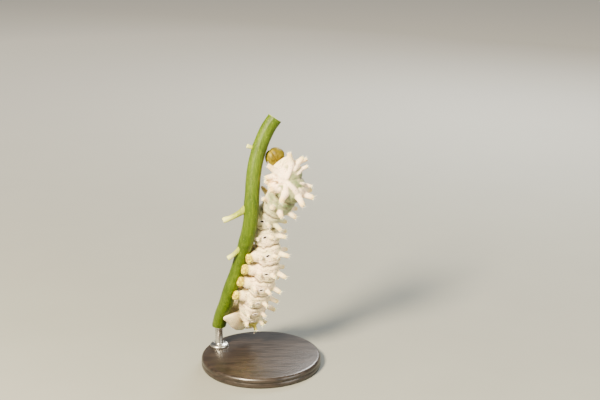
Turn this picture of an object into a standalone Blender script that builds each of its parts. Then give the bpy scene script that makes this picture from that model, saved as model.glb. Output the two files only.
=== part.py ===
# Eri silkworm larva, full grown, clinging head up to a cut leaf stalk on a plain display stand.
# Life size, in metres, +Z up. The origin is the middle of the stand's underside.
# The larva's left side faces -Y and its back is turned towards +X.

import math

import bmesh
import bpy
from mathutils import Vector

MM = 0.001
GAP = 0.32 * MM  # clearance kept between two pieces that touch

# Larva
BODY_SIDES = 20
BODY_RADIUS = 5.3  # rings of the middle of the body, mm
CREASE = 0.88  # radius at the fold between two rings, as a share of the ring's own
BELLY_FLATTENING = 0.10
SIDE_FOLD = 0.05  # height of the fleshy fold below the spiracles, as a share of the radius
SIDE_FOLD_ANGLE = 118.0
SIDE_FOLD_SPREAD = 16.0
COLLAR = 0.17  # how far the first ring reaches over the head, as a share of a ring's length
SPIRACLE_SEAT = (-0.04, 92.0)  # place along a ring and angle from the middle of the back
FRONT_SPIRACLE_SEAT = (0.18, 114.0)
SPIRACLE_SIZE = (0.85, 0.5)  # half length and half width of its rim, mm
TUBERCLE_SIDES = 7
TUBERCLE_BASE = 1.0  # radius, mm
TUBERCLE_TIP = 0.58  # radius, mm
TUBERCLE_SUNK = 1.3  # depth of the root in the flesh, mm
BACK_ROW = 28.0
UPPER_ROW = 65.0
LOWER_ROW = 114.0

PROLEG_HOLD = 68.0  # how far round the stalk a false leg holds, from the side facing the body
CLASPER_REACH_UP = 9.6  # how far up the stalk the claspers hold, mm
CLASPER_HOLD = (46.0, 104.0)  # where a clasper passes the stalk's side and where its tip holds

LEG_SWEEP = (1.0, 0.1, -0.3)  # how far each pair of true legs reaches forward

# Head
HEAD_WIDTH = 7.2
HEAD_HEIGHT = 7.0
HEAD_DEPTH = 6.0
HEAD_NOD = 40.0  # the face leans this far from the body's axis towards the belly
HEAD_PLACE = -0.05  # along the body route
HEAD_EYES = 5  # on each side

# Stalk and stand
STALK_RADIUS = 2.7
STALK_SIDES = 12
STALK_FOOT_HEIGHT = 12.5  # level cut end, above the floor
BASE_RADIUS = 23.0
BASE_HEIGHT = 4.0
ROD_RADIUS = 1.5
ROD_FLANGE_RADIUS = 3.6
ROD_FLANGE_HEIGHT = 1.0

# One row for each body segment, head to tail: centre x, y, z and radius in mm,
# then how far its back is turned from +X towards -Y, in degrees.
BODY_ROUTE = (
    ("head", (6.0, -3.2, 83.9, 3.5, 82.0)),
    ("thorax_1", (9.9, -6.0, 79.6, 5.2, 82.0)),
    ("thorax_2", (11.0, -6.8, 73.4, 5.6, 76.0)),
    ("thorax_3", (7.0, -5.0, 67.2, 5.3, 44.0)),
    ("abdomen_1", (2.4, -2.6, 60.6, 4.9, 14.0)),
    ("abdomen_2", (2.2, -2.6, 53.8, 5.1, 0.0)),
    ("abdomen_3", (2.7, -3.0, 46.9, BODY_RADIUS, -6.0)),
    ("abdomen_4", (1.9, -2.6, 40.3, BODY_RADIUS, -7.0)),
    ("abdomen_5", (-0.1, -1.3, 34.7, 5.5, -8.0)),
    ("abdomen_6", (-2.0, 1.3, 29.3, 6.0, -12.0)),
    ("abdomen_7", (-3.4, 4.5, 24.0, 6.1, -16.0)),
    ("abdomen_8", (-4.3, 7.9, 19.4, 5.7, -18.0)),
    ("abdomen_9", (-4.9, 10.9, 15.6, 4.9, -20.0)),
    ("anal_segment", (-5.4, 13.5, 12.5, 3.9, -20.0)),
)

# Middle line of the stalk from the upper cut down to the lower one, mm.
STALK_ROUTE = (
    (5.9, -2.0, 98.6),
    (3.0, -3.0, 94.3),
    (0.0, -4.9, 87.3),
    (-1.8, -7.0, 79.5),
    (-2.6, -9.0, 70.0),
    (-3.2, -9.0, 61.3),
    (-4.8, -7.6, 53.4),
    (-6.7, -4.9, 46.0),
    (-8.9, -3.0, 38.5),
    (-11.4, -1.0, 31.3),
    (-13.3, 1.5, 24.5),
    (-15.2, 5.0, 18.5),
    (-16.6, 8.0, STALK_FOOT_HEIGHT),
)

# Cut side veins of the eaten leaf: place along the stalk route, reach from the
# stalk's middle line (mm), radius (mm).
STALK_STUBS = (
    ("perch_stub_1", 1.9, (-4.6, -0.6, 1.2), 0.7),
    ("perch_stub_2", 4.25, (-10.5, 0.0, -5.5), 0.95),
    ("perch_stub_3", 6.1, (-6.8, 0.0, -6.1), 0.85),
)

COLOURS = {
    "flesh": (0.86, 0.84, 0.76, 1.0),
    "foot": (0.80, 0.62, 0.20, 1.0),
    "head": (0.55, 0.36, 0.06, 1.0),
    "leg": (0.68, 0.50, 0.14, 1.0),
    "stalk": (0.42, 0.52, 0.12, 1.0),
    "stub": (0.62, 0.66, 0.30, 1.0),
    "base": (0.05, 0.05, 0.05, 1.0),
    "rod": (0.60, 0.58, 0.54, 1.0),
}


def clear_scene():
    for item in list(bpy.data.objects):
        bpy.data.objects.remove(item, do_unlink=True)


def smooth_step(rows, u):
    """Catmull-Rom value of a list of equally long rows at a place u along it."""
    last = len(rows) - 1
    i = min(max(int(math.floor(u)), 0), last - 1)
    t = u - i
    here = rows[i]
    after = rows[i + 1]
    if i > 0:
        before = rows[i - 1]
    else:
        before = [2 * a - b for a, b in zip(here, after)]
    if i + 2 <= last:
        beyond = rows[i + 2]
    else:
        beyond = [2 * b - a for a, b in zip(here, after)]
    values = []
    for p0, p1, p2, p3 in zip(before, here, after, beyond):
        value = 2 * p1 + (p2 - p0) * t
        value += (2 * p0 - 5 * p1 + 4 * p2 - p3) * t * t
        value += (3 * p1 - p0 - 3 * p2 + p3) * t * t * t
        values.append(value / 2)
    return values


def body_values(u):
    return smooth_step([row for name, row in BODY_ROUTE], u)


def body_frame(u):
    """Centre, forward, back and left directions and radius of the body at u."""
    values = body_values(u)
    centre = Vector(values[:3]) * MM
    step = 0.45
    ahead = Vector(body_values(u - step)[:3])
    behind = Vector(body_values(u + step)[:3])
    forward = (ahead - behind).normalized()
    turn = math.radians(values[4])
    back = Vector((math.cos(turn), -math.sin(turn), 0.0))
    back = (back - forward * back.dot(forward)).normalized()
    left = back.cross(forward)
    return centre, forward, back, left, values[3] * MM


def body_speed(u):
    """Length of route per unit of u, in metres."""
    step = 0.02
    ahead = Vector(body_values(u - step)[:3])
    behind = Vector(body_values(u + step)[:3])
    return (behind - ahead).length * MM / (2 * step)


def stalk_frame(u):
    centre = Vector(smooth_step(STALK_ROUTE, u)) * MM
    step = 0.05
    above = Vector(smooth_step(STALK_ROUTE, u - step))
    below = Vector(smooth_step(STALK_ROUTE, u + step))
    along = (below - above).normalized()
    side = along.cross(Vector((0.0, 1.0, 0.0))).normalized()
    return centre, along, side, along.cross(side)


def nearest_on_stalk(point):
    """Place along the stalk's middle line that is nearest to a point."""
    steps = 40
    last = len(STALK_ROUTE) - 1
    best = 0.0
    best_distance = 1e9
    for n in range(last * steps + 1):
        u = n / steps
        distance = (Vector(smooth_step(STALK_ROUTE, u)) * MM - point).length
        if distance < best_distance:
            best = u
            best_distance = distance
    return best


def section(angle):
    """Shape of the body's cross-section: 1 all round, flatter below, a fold at each side."""
    shape = 1.0 - BELLY_FLATTENING * max(0.0, -math.cos(angle)) ** 2
    off_fold = math.degrees(abs(math.atan2(math.sin(angle), math.cos(angle)))) - SIDE_FOLD_ANGLE
    shape += SIDE_FOLD * math.exp(-(off_fold / SIDE_FOLD_SPREAD) ** 2)
    return shape


def around(centre, back, left, angle_degrees, distance):
    angle = math.radians(angle_degrees)
    return centre + (back * math.cos(angle) + left * math.sin(angle)) * distance


def body_ring(u, share, grow):
    centre, forward, back, left, radius = body_frame(u)
    ring = []
    for n in range(BODY_SIDES):
        angle = 2 * math.pi * n / BODY_SIDES
        reach = radius * share * section(angle) + grow
        ring.append(centre + (back * math.cos(angle) + left * math.sin(angle)) * reach)
    return ring


def skin_rings(mesh, rings):
    """Closed skin over rings of equally many points, with a flat face at each end."""
    loops = [[mesh.verts.new(point) for point in ring] for ring in rings]
    for lower, upper in zip(loops, loops[1:]):
        count = len(lower)
        for n in range(count):
            following = (n + 1) % count
            mesh.faces.new((lower[n], lower[following], upper[following], upper[n]))
    mesh.faces.new(loops[0])
    mesh.faces.new(list(reversed(loops[-1])))


def tidy(mesh):
    bmesh.ops.recalc_face_normals(mesh, faces=mesh.faces)


def material(name, colour, roughness, metallic=0.0):
    made = bpy.data.materials.new(name)
    made.use_nodes = True
    shader = made.node_tree.nodes["Principled BSDF"]
    shader.inputs["Base Color"].default_value = colour
    shader.inputs["Roughness"].default_value = roughness
    shader.inputs["Metallic"].default_value = metallic
    return made


def add_object(name, mesh, colour="flesh", roughness=0.55, metallic=0.0):
    data = bpy.data.meshes.new(name)
    mesh.to_mesh(data)
    mesh.free()
    made = bpy.data.objects.new(name, data)
    data.materials.append(material(name, COLOURS[colour], roughness, metallic))
    bpy.context.scene.collection.objects.link(made)
    data.shade_smooth()
    data.set_sharp_from_angle(angle=math.radians(40))
    return made


def ring_object(name, rings, colour="flesh"):
    mesh = bmesh.new()
    skin_rings(mesh, rings)
    tidy(mesh)
    return add_object(name, mesh, colour)


def largest_part(mesh):
    """Keeps only the largest closed surface of a mesh."""
    unseen = set(mesh.verts)
    groups = []
    while unseen:
        start = unseen.pop()
        group = {start}
        queue = [start]
        while queue:
            vert = queue.pop()
            for edge in vert.link_edges:
                other = edge.other_vert(vert)
                if other in unseen:
                    unseen.remove(other)
                    group.add(other)
                    queue.append(other)
        groups.append(group)
    if len(groups) < 2:
        return
    groups.sort(key=group_reach)
    spare = [vert for group in groups[:-1] for vert in group]
    bmesh.ops.delete(mesh, geom=spare, context="VERTS")


def group_reach(group):
    lows = [min(vert.co[axis] for vert in group) for axis in range(3)]
    highs = [max(vert.co[axis] for vert in group) for axis in range(3)]
    return (Vector(highs) - Vector(lows)).length


def combine(target, parts, operation):
    """Joins or cuts a node with a collection of closed parts, then removes the parts."""
    group = bpy.data.collections.new(target.name + " parts")
    bpy.context.scene.collection.children.link(group)
    for part in parts:
        for owner in list(part.users_collection):
            owner.objects.unlink(part)
        group.objects.link(part)
    modifier = target.modifiers.new("Combine", "BOOLEAN")
    modifier.operation = operation
    modifier.operand_type = "COLLECTION"
    modifier.collection = group
    modifier.solver = "EXACT"
    modifier.material_mode = "INDEX"
    bpy.context.view_layer.update()
    evaluated = target.evaluated_get(bpy.context.evaluated_depsgraph_get())
    mesh = bmesh.new()
    mesh.from_mesh(evaluated.to_mesh())
    evaluated.to_mesh_clear()
    target.modifiers.clear()
    largest_part(mesh)
    bmesh.ops.remove_doubles(mesh, verts=mesh.verts, dist=0.002 * MM)
    bmesh.ops.dissolve_degenerate(mesh, edges=mesh.edges, dist=0.002 * MM)
    mesh.to_mesh(target.data)
    mesh.free()
    for part in parts:
        bpy.data.objects.remove(part, do_unlink=True)
    bpy.data.collections.remove(group)
    target.data.shade_smooth()
    target.data.set_sharp_from_angle(angle=math.radians(40))


def round_sweep(stations, sides):
    """Rings of round sections: each station is a centre, a direction, and two radii."""
    rings = []
    for centre, along, wide, width, thickness in stations:
        across = wide - along * wide.dot(along)
        across.normalize()
        up = along.cross(across)
        ring = []
        for n in range(sides):
            angle = 2 * math.pi * n / sides
            ring.append(centre + across * math.cos(angle) * width + up * math.sin(angle) * thickness)
        rings.append(ring)
    return rings


def segment_rings(index, grow=0.0):
    """Rings of one body segment, from its front fold to its rear fold."""
    first = index - 0.5
    if index == 1:
        first -= COLLAR
    last = index + 0.5
    first += (GAP / 2 - grow) / body_speed(first)
    last -= (GAP / 2 - grow) / body_speed(last)
    rings = []
    for place in (-1.0, -0.8, -0.4, 0.4, 0.8, 1.0):
        u = (first + last) / 2 + place * (last - first) / 2
        share = CREASE + (1.0 - CREASE) * (1.0 - abs(place) ** 5)
        rings.append(body_ring(u, share, grow))
    return rings


def tail_rings(index, grow=0.0):
    """Rings of the last segment, which closes in a low dome."""
    first = index - 0.5
    first += (GAP / 2 - grow) / body_speed(first)
    rings = []
    for place, share in ((0.0, 0.92), (0.2, 1.0), (0.55, 0.99), (0.8, 0.82), (0.95, 0.52), (1.0, 0.25)):
        rings.append(body_ring(first + place * (1.02 + grow / body_speed(index)), share, grow))
    return rings


def clear_length(root, along, length):
    """Shortens a tubercle until its tip stays off the stalk."""
    room = (STALK_RADIUS + TUBERCLE_TIP * 1.4) * MM + GAP
    while length > 0.8:
        tip = root + along * length * MM
        place = nearest_on_stalk(tip)
        if (tip - stalk_frame(place)[0]).length > room:
            break
        length -= 0.2
    return length


def tubercle(index, place, angle, length, lean, stoutness=1.0):
    """One fleshy cone, its root sunk in the segment, leaning towards the tail."""
    centre, forward, back, left, radius = body_frame(index + place)
    turn = math.radians(angle)
    outward = back * math.cos(turn) + left * math.sin(turn)
    root = centre + outward * radius * section(turn)
    slope = math.radians(lean)
    along = (outward * math.cos(slope) - forward * math.sin(slope)).normalized()
    length = clear_length(root, along, length)
    neck = TUBERCLE_TIP / TUBERCLE_BASE
    stations = [(root - along * TUBERCLE_SUNK * MM, along, forward, TUBERCLE_BASE * stoutness * MM)]
    for reach, share in ((0.0, 1.06), (0.35, 0.82), (0.84, neck), (1.0, neck * 0.6)):
        width = TUBERCLE_BASE * stoutness * share * MM
        stations.append((root + along * reach * length * MM, along, forward, width))
    rings = [(point, axis, wide, width, width) for point, axis, wide, width in stations]
    return ring_object("tubercle", round_sweep(rings, TUBERCLE_SIDES))


def tubercle_rows(index):
    """Angle, length, place along the segment, lean and stoutness of one side's tubercles."""
    if index == 1:
        return (
            (36.0, 4.6, -0.12, -56.0, 1.1),
            (66.0, 3.7, -0.05, -12.0, 1.05),
            (98.0, 3.8, -0.10, 6.0, 1.0),
            (80.0, 2.8, 0.21, -8.0, 0.8),
        )
    if index == 2:
        return (
            (26.5, 4.8, 0.05, 25.0, 1.2),
            (61.0, 4.4, 0.05, -4.0, 1.15),
            (98.0, 3.9, 0.08, -12.0, 1.05),
            (80.0, 2.8, -0.21, 9.0, 0.8),
        )
    if index == 3:
        return ((27.0, 3.7, 0.0, -12.0, 1.1), (62.0, 2.9, 0.0, -26.0, 1.05), (98.0, 2.9, 0.0, -10.0, 1.0))
    if index <= 9:
        return ((BACK_ROW, 3.7, 0.0, 6.0, 1.0), (UPPER_ROW, 2.4, 0.0, -10.0, 0.85), (LOWER_ROW, 1.8, 0.0, -8.0, 0.75))
    if index == 10:
        return ((BACK_ROW, 3.6, 0.0, 10.0, 1.0), (UPPER_ROW, 2.4, 0.0, -4.0, 0.85), (LOWER_ROW, 1.8, 0.0, -4.0, 0.75))
    if index == 11:
        return ((UPPER_ROW, 2.8, 0.0, 12.0, 0.9), (LOWER_ROW, 1.9, 0.0, 4.0, 0.8))
    if index == 12:
        return ((34.0, 2.7, 0.0, 22.0, 0.9), (80.0, 2.3, 0.0, 18.0, 0.8))
    return ()


def spiracle(index, side):
    """Low oval rim of a breathing hole on the flank."""
    place, angle = SPIRACLE_SEAT
    if index == 1:
        place, angle = FRONT_SPIRACLE_SEAT
    centre, forward, back, left, radius = body_frame(index + place)
    turn = math.radians(angle) * side
    outward = back * math.cos(turn) + left * math.sin(turn)
    surface = centre + outward * radius * section(turn)
    tall = outward.cross(forward).normalized()
    long, short = SPIRACLE_SIZE
    stations = []
    for height, share in ((-0.6, 1.0), (0.02, 1.0), (0.14, 0.8)):
        stations.append((surface + outward * height * MM, outward, tall, long * share * MM, short * share * MM))
    return ring_object("spiracle", round_sweep(stations, 8))


def tail_plate(index):
    """Three-cornered plate over the tail's end, raised a little."""
    centre, forward, back, left, radius = body_frame(index + 0.35)
    middle = centre + back * radius * 0.62
    along = (back - forward * 0.55).normalized()
    across = left
    down = along.cross(across)
    return blob(middle, (across, down, along), (2.3, 2.1, 1.75), 12, 6)


def make_segment(index):
    name = BODY_ROUTE[index][0]
    if index == len(BODY_ROUTE) - 1:
        rings = tail_rings(index)
    else:
        rings = segment_rings(index)
    segment = ring_object(name, rings)
    parts = []
    for angle, length, place, lean, stoutness in tubercle_rows(index):
        for side in (1.0, -1.0):
            parts.append(tubercle(index, place, angle * side, length, lean, stoutness))
    if index == 11:
        parts.append(tubercle(index, 0.0, 0.0, 3.4, 16.0))
    if index == 1 or 4 <= index <= 11:
        parts += [spiracle(index, 1.0), spiracle(index, -1.0)]
    if index == len(BODY_ROUTE) - 1:
        parts.append(tail_plate(index))
    if parts:
        combine(segment, parts, "UNION")
    return segment


def grown_segment(index):
    """The plain segment, larger by the gap, to cut a limb's root to."""
    if index == len(BODY_ROUTE) - 1:
        return ring_object("cutter", tail_rings(index, GAP))
    return ring_object("cutter", segment_rings(index, GAP))


def stalk_rings(grow=0.0):
    last = len(STALK_ROUTE) - 1
    steps = 3
    rings = []
    for n in range(last * steps + 1):
        u = n / steps
        centre, along, side, depth = stalk_frame(u)
        ring = []
        for k in range(STALK_SIDES):
            angle = 2 * math.pi * k / STALK_SIDES
            reach = STALK_RADIUS * MM + grow
            point = centre + side * math.cos(angle) * reach + depth * math.sin(angle) * reach
            if n == last * steps:
                level = STALK_FOOT_HEIGHT * MM
                point += along * (level - point.z) / along.z
            ring.append(point)
        rings.append(ring)
    return rings


def make_stalk():
    return ring_object("perch_stem", stalk_rings(), "stalk")


def make_stub(name, u, reach, radius):
    """Cut side vein, tapering a little, its root cut clear of the stalk."""
    centre, along, side, depth = stalk_frame(u)
    reach = Vector(reach) * MM
    droop = Vector((0.0, 0.0, -0.06)) * reach.length
    stations = []
    for share, width in ((0.0, 1.35), (0.45, 1.05), (0.75, 0.95), (1.0, 0.9)):
        point = centre + reach * share + droop * share * share
        direction = (reach + droop * 2 * share).normalized()
        stations.append((point, direction, along, radius * width * MM, radius * width * MM))
    stub = ring_object(name, round_sweep(stations, 8), "stub")
    combine(stub, [ring_object("cutter", stalk_rings(GAP))], "DIFFERENCE")
    return stub


def limb(name, stations, sides, colour, cutters):
    made = ring_object(name, round_sweep(stations, sides), colour)
    combine(made, cutters, "DIFFERENCE")
    return made


def grip_point(place, centre, out, angle, clearance):
    """Point beside the stalk, turned round it from the side that faces the body's centre."""
    stalk, along, across, depth = stalk_frame(place)
    towards = centre - stalk
    towards = (towards - along * towards.dot(along)).normalized()
    beside = along.cross(towards).normalized()
    if beside.dot(out) < 0:
        beside.negate()
    turn = math.radians(angle)
    reach = (STALK_RADIUS + clearance) * MM
    return stalk + (towards * math.cos(turn) + beside * math.sin(turn)) * reach


def make_proleg(index, side_name, side):
    """Fleshy false leg, from the belly's edge to the side of the stalk that it holds."""
    centre, forward, back, left, radius = body_frame(index)
    place = nearest_on_stalk(centre - back * radius)
    foot = grip_point(place, centre, left * side, PROLEG_HOLD, 0.75)
    root = around(centre, back, left, 146.0 * side, radius * 0.62)
    direction = (foot - root).normalized()
    length = (foot - root).length
    stations = []
    for share, width, thickness in (
        (0.0, 2.3, 2.0),
        (0.55, 2.1, 1.8),
        (0.80, 1.75, 1.4),
        (0.92, 1.95, 1.45),
        (1.05, 1.95, 1.3),
        (1.12, 1.4, 0.8),
    ):
        point = root + direction * length * share
        stations.append((point, direction, forward, width * MM, thickness * MM))
    name = "proleg_%d_%s" % (index - 3, side_name)
    cutters = [grown_segment(index), ring_object("cutter", stalk_rings(GAP))]
    return limb(name, stations, 10, "foot", cutters)


def make_leg(index, side_name, side):
    """True leg, a short jointed cone that curves forward and in to one claw."""
    centre, forward, back, left, radius = body_frame(index + 0.05)
    down = -back
    out = left * side
    root = around(centre, back, left, 154.0 * side, radius * 0.70)
    sweep = forward * LEG_SWEEP[index - 1]
    thigh = root + (down * 2.1 + out * 0.7 + sweep * 0.3) * MM
    knee = thigh + (down * 1.5 + out * 0.3 + sweep * 0.6) * MM
    shin = knee + (down * 1.1 - out * 0.3 + sweep) * MM
    claw = shin + (down * 0.5 - out * 0.7 + sweep * 0.8) * MM
    stations = []
    points = (root, thigh, knee, shin, claw)
    widths = (1.15, 0.95, 0.75, 0.5, 0.25)
    for n, point in enumerate(points):
        before = points[max(n - 1, 0)]
        after = points[min(n + 1, len(points) - 1)]
        stations.append((point, (after - before).normalized(), forward, widths[n] * MM, widths[n] * MM))
    name = "leg_%d_%s" % (index, side_name)
    return limb(name, stations, 8, "leg", [grown_segment(index)])


def make_clasper(side_name, side):
    """Broad last false leg, a three-cornered flap that wraps the side of the stalk."""
    index = len(BODY_ROUTE) - 1
    centre, forward, back, left, radius = body_frame(index + 0.05)
    place = nearest_on_stalk(centre + forward * CLASPER_REACH_UP * MM)
    root = around(centre, back, left, 100.0 * side, radius * 0.30)
    beside = grip_point(place, centre, left * side, CLASPER_HOLD[0], 2.6)
    tip = grip_point(place, centre, left * side, CLASPER_HOLD[1], 0.85)
    wide = (forward + Vector((0.0, 0.0, 1.0))).normalized()
    stations = []
    for share, width, thickness in (
        (0.0, 4.2, 1.4),
        (0.25, 4.5, 1.5),
        (0.50, 3.7, 1.3),
        (0.72, 2.3, 1.0),
        (0.90, 1.1, 0.7),
        (1.0, 0.6, 0.5),
    ):
        rest = 1.0 - share
        point = root * rest * rest + beside * 2 * share * rest + tip * share * share
        direction = ((beside - root) * rest + (tip - beside) * share).normalized()
        stations.append((point, direction, wide, width * MM, thickness * MM))
    name = "anal_clasper_" + side_name
    cutters = [grown_segment(n) for n in range(index - 3, index + 1)]
    cutters.append(ring_object("cutter", stalk_rings(GAP)))
    return limb(name, stations, 10, "flesh", cutters)


def blob(centre, axes, radii, sides=8, levels=6):
    """Small closed egg: three directions and a radius in mm along each."""
    mesh = bmesh.new()
    bmesh.ops.create_uvsphere(mesh, u_segments=sides, v_segments=levels, radius=1.0)
    for vert in mesh.verts:
        parts = [axis * vert.co[n] * radii[n] * MM for n, axis in enumerate(axes)]
        vert.co = centre + parts[0] + parts[1] + parts[2]
    tidy(mesh)
    return add_object("blob", mesh, "head")


def cone(root, along, wide, reaches, sides=6):
    """Small round-tipped cone: pairs of distance and radius in mm."""
    stations = []
    for distance, width in reaches:
        stations.append((root + along * distance * MM, along, wide, width * MM, width * MM))
    return ring_object("cone", round_sweep(stations, sides), "head")


def head_parts(centre, left, face, crown):
    """Lip, jaws, feelers and the small eyes low on each side."""
    axes = (left, face, crown)
    parts = [blob(centre + (face * 2.30 - crown * 2.25) * MM, axes, (1.15, 0.65, 0.75))]
    for side in (1.0, -1.0):
        out = left * side
        parts.append(blob(centre + (out * 0.75 + face * 1.75 - crown * 2.75) * MM, axes, (0.75, 0.7, 0.85)))
        feeler = (out * 0.45 + face * 0.55 - crown * 0.7).normalized()
        root = centre + (out * 1.75 + face * 1.75 - crown * 1.9) * MM
        parts.append(cone(root, feeler, face, ((-0.6, 0.36), (0.35, 0.32), (0.4, 0.24), (0.95, 0.16))))
        for step in range(HEAD_EYES):
            swing = math.radians(-12.0 - 15.0 * step)
            turn = math.radians(40.0 + 5.0 * (step % 2))
            outward = out * math.cos(swing) * math.sin(turn) * HEAD_WIDTH / 2
            outward += face * math.cos(swing) * math.cos(turn) * HEAD_DEPTH / 2
            outward += crown * math.sin(swing) * HEAD_HEIGHT / 2
            parts.append(blob(centre + outward * 0.93 * MM, axes, (0.36, 0.36, 0.36), 6, 4))
    return parts


def make_head():
    """Round, hard head of two lobes with its face turned down, cut flat against the first ring."""
    centre, forward, back, left, radius = body_frame(HEAD_PLACE)
    nod = math.radians(HEAD_NOD)
    face = forward * math.cos(nod) - back * math.sin(nod)
    crown = back * math.cos(nod) + forward * math.sin(nod)
    mesh = bmesh.new()
    bmesh.ops.create_uvsphere(mesh, u_segments=18, v_segments=12, radius=1.0)
    for vert in mesh.verts:
        x, y, z = vert.co
        groove = 1.0 - 0.10 * math.exp(-(x / 0.16) ** 2) * max(0.0, z + 0.2)
        jaw = 1.0 - 0.22 * max(0.0, -z - 0.1)
        x *= HEAD_WIDTH / 2 * jaw
        y *= HEAD_DEPTH / 2 * groove
        z *= HEAD_HEIGHT / 2 * groove
        vert.co = centre + (left * x + face * y + crown * z) * MM
    tidy(mesh)
    head = add_object("head", mesh, "head", 0.35)
    combine(head, head_parts(centre, left, face, crown), "UNION")
    combine(head, [grown_segment(1), ring_object("cutter", stalk_rings(GAP))], "DIFFERENCE")
    return head


def make_base():
    mesh = bmesh.new()
    bevel = 0.6
    profile = (
        (BASE_RADIUS - bevel, 0.0),
        (BASE_RADIUS, bevel),
        (BASE_RADIUS, BASE_HEIGHT - bevel),
        (BASE_RADIUS - bevel, BASE_HEIGHT),
    )
    skin_rings(mesh, turned_rings(profile, (0.0, 0.0), 48))
    tidy(mesh)
    return add_object("stand_base", mesh, "base", 0.35)


def turned_rings(profile, middle, sides):
    rings = []
    for radius, height in profile:
        ring = []
        for n in range(sides):
            angle = 2 * math.pi * n / sides
            x = middle[0] + radius * math.cos(angle)
            y = middle[1] + radius * math.sin(angle)
            ring.append(Vector((x, y, height)) * MM)
        rings.append(ring)
    return rings


def make_rod():
    """Upright rod with a foot flange, from the base to the stalk's lower cut."""
    foot = STALK_ROUTE[-1]
    gap = GAP / MM
    low = BASE_HEIGHT + gap
    high = STALK_FOOT_HEIGHT - gap
    profile = (
        (ROD_FLANGE_RADIUS, low),
        (ROD_FLANGE_RADIUS, low + ROD_FLANGE_HEIGHT * 0.6),
        (ROD_FLANGE_RADIUS * 0.8, low + ROD_FLANGE_HEIGHT),
        (ROD_RADIUS, low + ROD_FLANGE_HEIGHT),
        (ROD_RADIUS, high),
    )
    mesh = bmesh.new()
    skin_rings(mesh, turned_rings(profile, foot[:2], 20))
    tidy(mesh)
    return add_object("stand_rod", mesh, "rod", 0.3, 1.0)


def main():
    clear_scene()
    make_base()
    make_rod()
    make_stalk()
    for name, u, reach, radius in STALK_STUBS:
        make_stub(name, u, reach, radius)
    for index in range(1, len(BODY_ROUTE)):
        make_segment(index)
    make_head()
    for side_name, side in (("left", 1.0), ("right", -1.0)):
        for index in (1, 2, 3):
            make_leg(index, side_name, side)
        for index in (6, 7, 8, 9):
            make_proleg(index, side_name, side)
        make_clasper(side_name, side)


main()
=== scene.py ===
import math

import bpy
import numpy as np
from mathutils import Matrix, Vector, noise


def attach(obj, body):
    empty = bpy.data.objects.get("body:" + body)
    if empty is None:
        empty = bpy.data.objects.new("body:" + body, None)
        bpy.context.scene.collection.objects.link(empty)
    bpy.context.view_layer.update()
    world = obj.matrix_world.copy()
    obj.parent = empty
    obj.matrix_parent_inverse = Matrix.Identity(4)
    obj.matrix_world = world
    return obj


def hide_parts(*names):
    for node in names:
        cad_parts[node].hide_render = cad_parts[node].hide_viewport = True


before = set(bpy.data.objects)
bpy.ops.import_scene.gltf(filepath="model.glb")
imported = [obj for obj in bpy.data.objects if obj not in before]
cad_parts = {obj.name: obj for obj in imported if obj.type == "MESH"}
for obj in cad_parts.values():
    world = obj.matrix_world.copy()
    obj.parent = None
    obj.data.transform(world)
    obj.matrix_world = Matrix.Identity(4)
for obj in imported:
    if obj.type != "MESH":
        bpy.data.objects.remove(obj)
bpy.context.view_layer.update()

mm = 0.001
chance = np.random.default_rng(31)
bpy.ops.object.select_all(action="DESELECT")


# Colour and material helpers

def linearColour(code):  # sRGB hex to the linear colour that a shader takes
    parts = [int(code[n:n + 2], 16) / 255 for n in (1, 3, 5)]
    linear = [part / 12.92 if part <= 0.04045 else ((part + 0.055) / 1.055) ** 2.4 for part in parts]
    return (*linear, 1.0)


def addNode(tree, kind, inputs, output=0, **settings):  # gives one of its outputs; text is a hex colour
    made = tree.nodes.new("ShaderNode" + kind)
    for name, value in settings.items():
        setattr(made, name, value)
    for name, value in inputs.items():
        if isinstance(value, bpy.types.NodeSocket):
            tree.links.new(value, made.inputs[name])
        else:
            made.inputs[name].default_value = linearColour(value) if isinstance(value, str) else value
    return made.outputs[output]


def startMaterial(name, sockets):  # also gives the shader and Object coordinates in millimetres
    made = bpy.data.materials.new(name)
    made.use_nodes = True
    tree = made.node_tree
    shader = tree.nodes["Principled BSDF"]
    for socket, value in sockets.items():
        shader.inputs[socket].default_value = value
    place = addNode(tree, "TexCoord", {}, "Object")
    return made, tree, shader, addNode(tree, "VectorMath", {0: place, "Scale": 1 / mm}, operation="SCALE")


# Colours laid over where a pattern is high: pattern, value where it starts and is full, strength, colour.
def layPatches(tree, colour, rows):
    for pattern, start, full, strength, over in rows:
        share = addNode(tree, "MapRange", {
            "Value": pattern, "From Min": start, "From Max": full, "To Max": strength})
        colour = addNode(tree, "Mix", {0: share, 6: colour, 7: over}, 2, data_type="RGBA")
    return colour


# Colours laid over by a value kept at the mesh's points, or by any socket: value, strength, colour.
def layTones(tree, colour, rows):
    for tone, strength, over in rows:
        if isinstance(tone, str):
            tone = addNode(tree, "Attribute", {}, "Fac", attribute_name=tone)
        share = addNode(tree, "Math", {0: tone, 1: strength}, operation="MULTIPLY")
        colour = addNode(tree, "Mix", {0: share, 6: colour, 7: over}, 2, data_type="RGBA")
    return colour


def finish(tree, shader, colour, height, depth, roughness=None):  # depth of the relief in mm
    tree.links.new(colour, shader.inputs["Base Color"])
    bump = addNode(tree, "Bump", {"Height": height, "Strength": 1.0, "Distance": depth * mm})
    tree.links.new(bump, shader.inputs["Normal"])
    if roughness:
        tree.links.new(roughness, shader.inputs["Roughness"])


# Mesh helpers

smoothAngle = math.radians(50)  # an edge sharper than this stays crisp
mergeDistance = 0.002 * mm


def cornersOf(piece):
    flat = np.empty(len(piece.data.vertices) * 3)
    piece.data.vertices.foreach_get("co", flat)
    return flat.reshape(-1, 3)


def setCorners(piece, points):
    piece.data.vertices.foreach_set("co", np.ascontiguousarray(points).ravel())
    piece.data.update()


def normalsOf(piece):
    flat = np.empty(len(piece.data.vertices) * 3)
    piece.data.vertex_normals.foreach_get("vector", flat)
    return flat.reshape(-1, 3)


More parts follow.
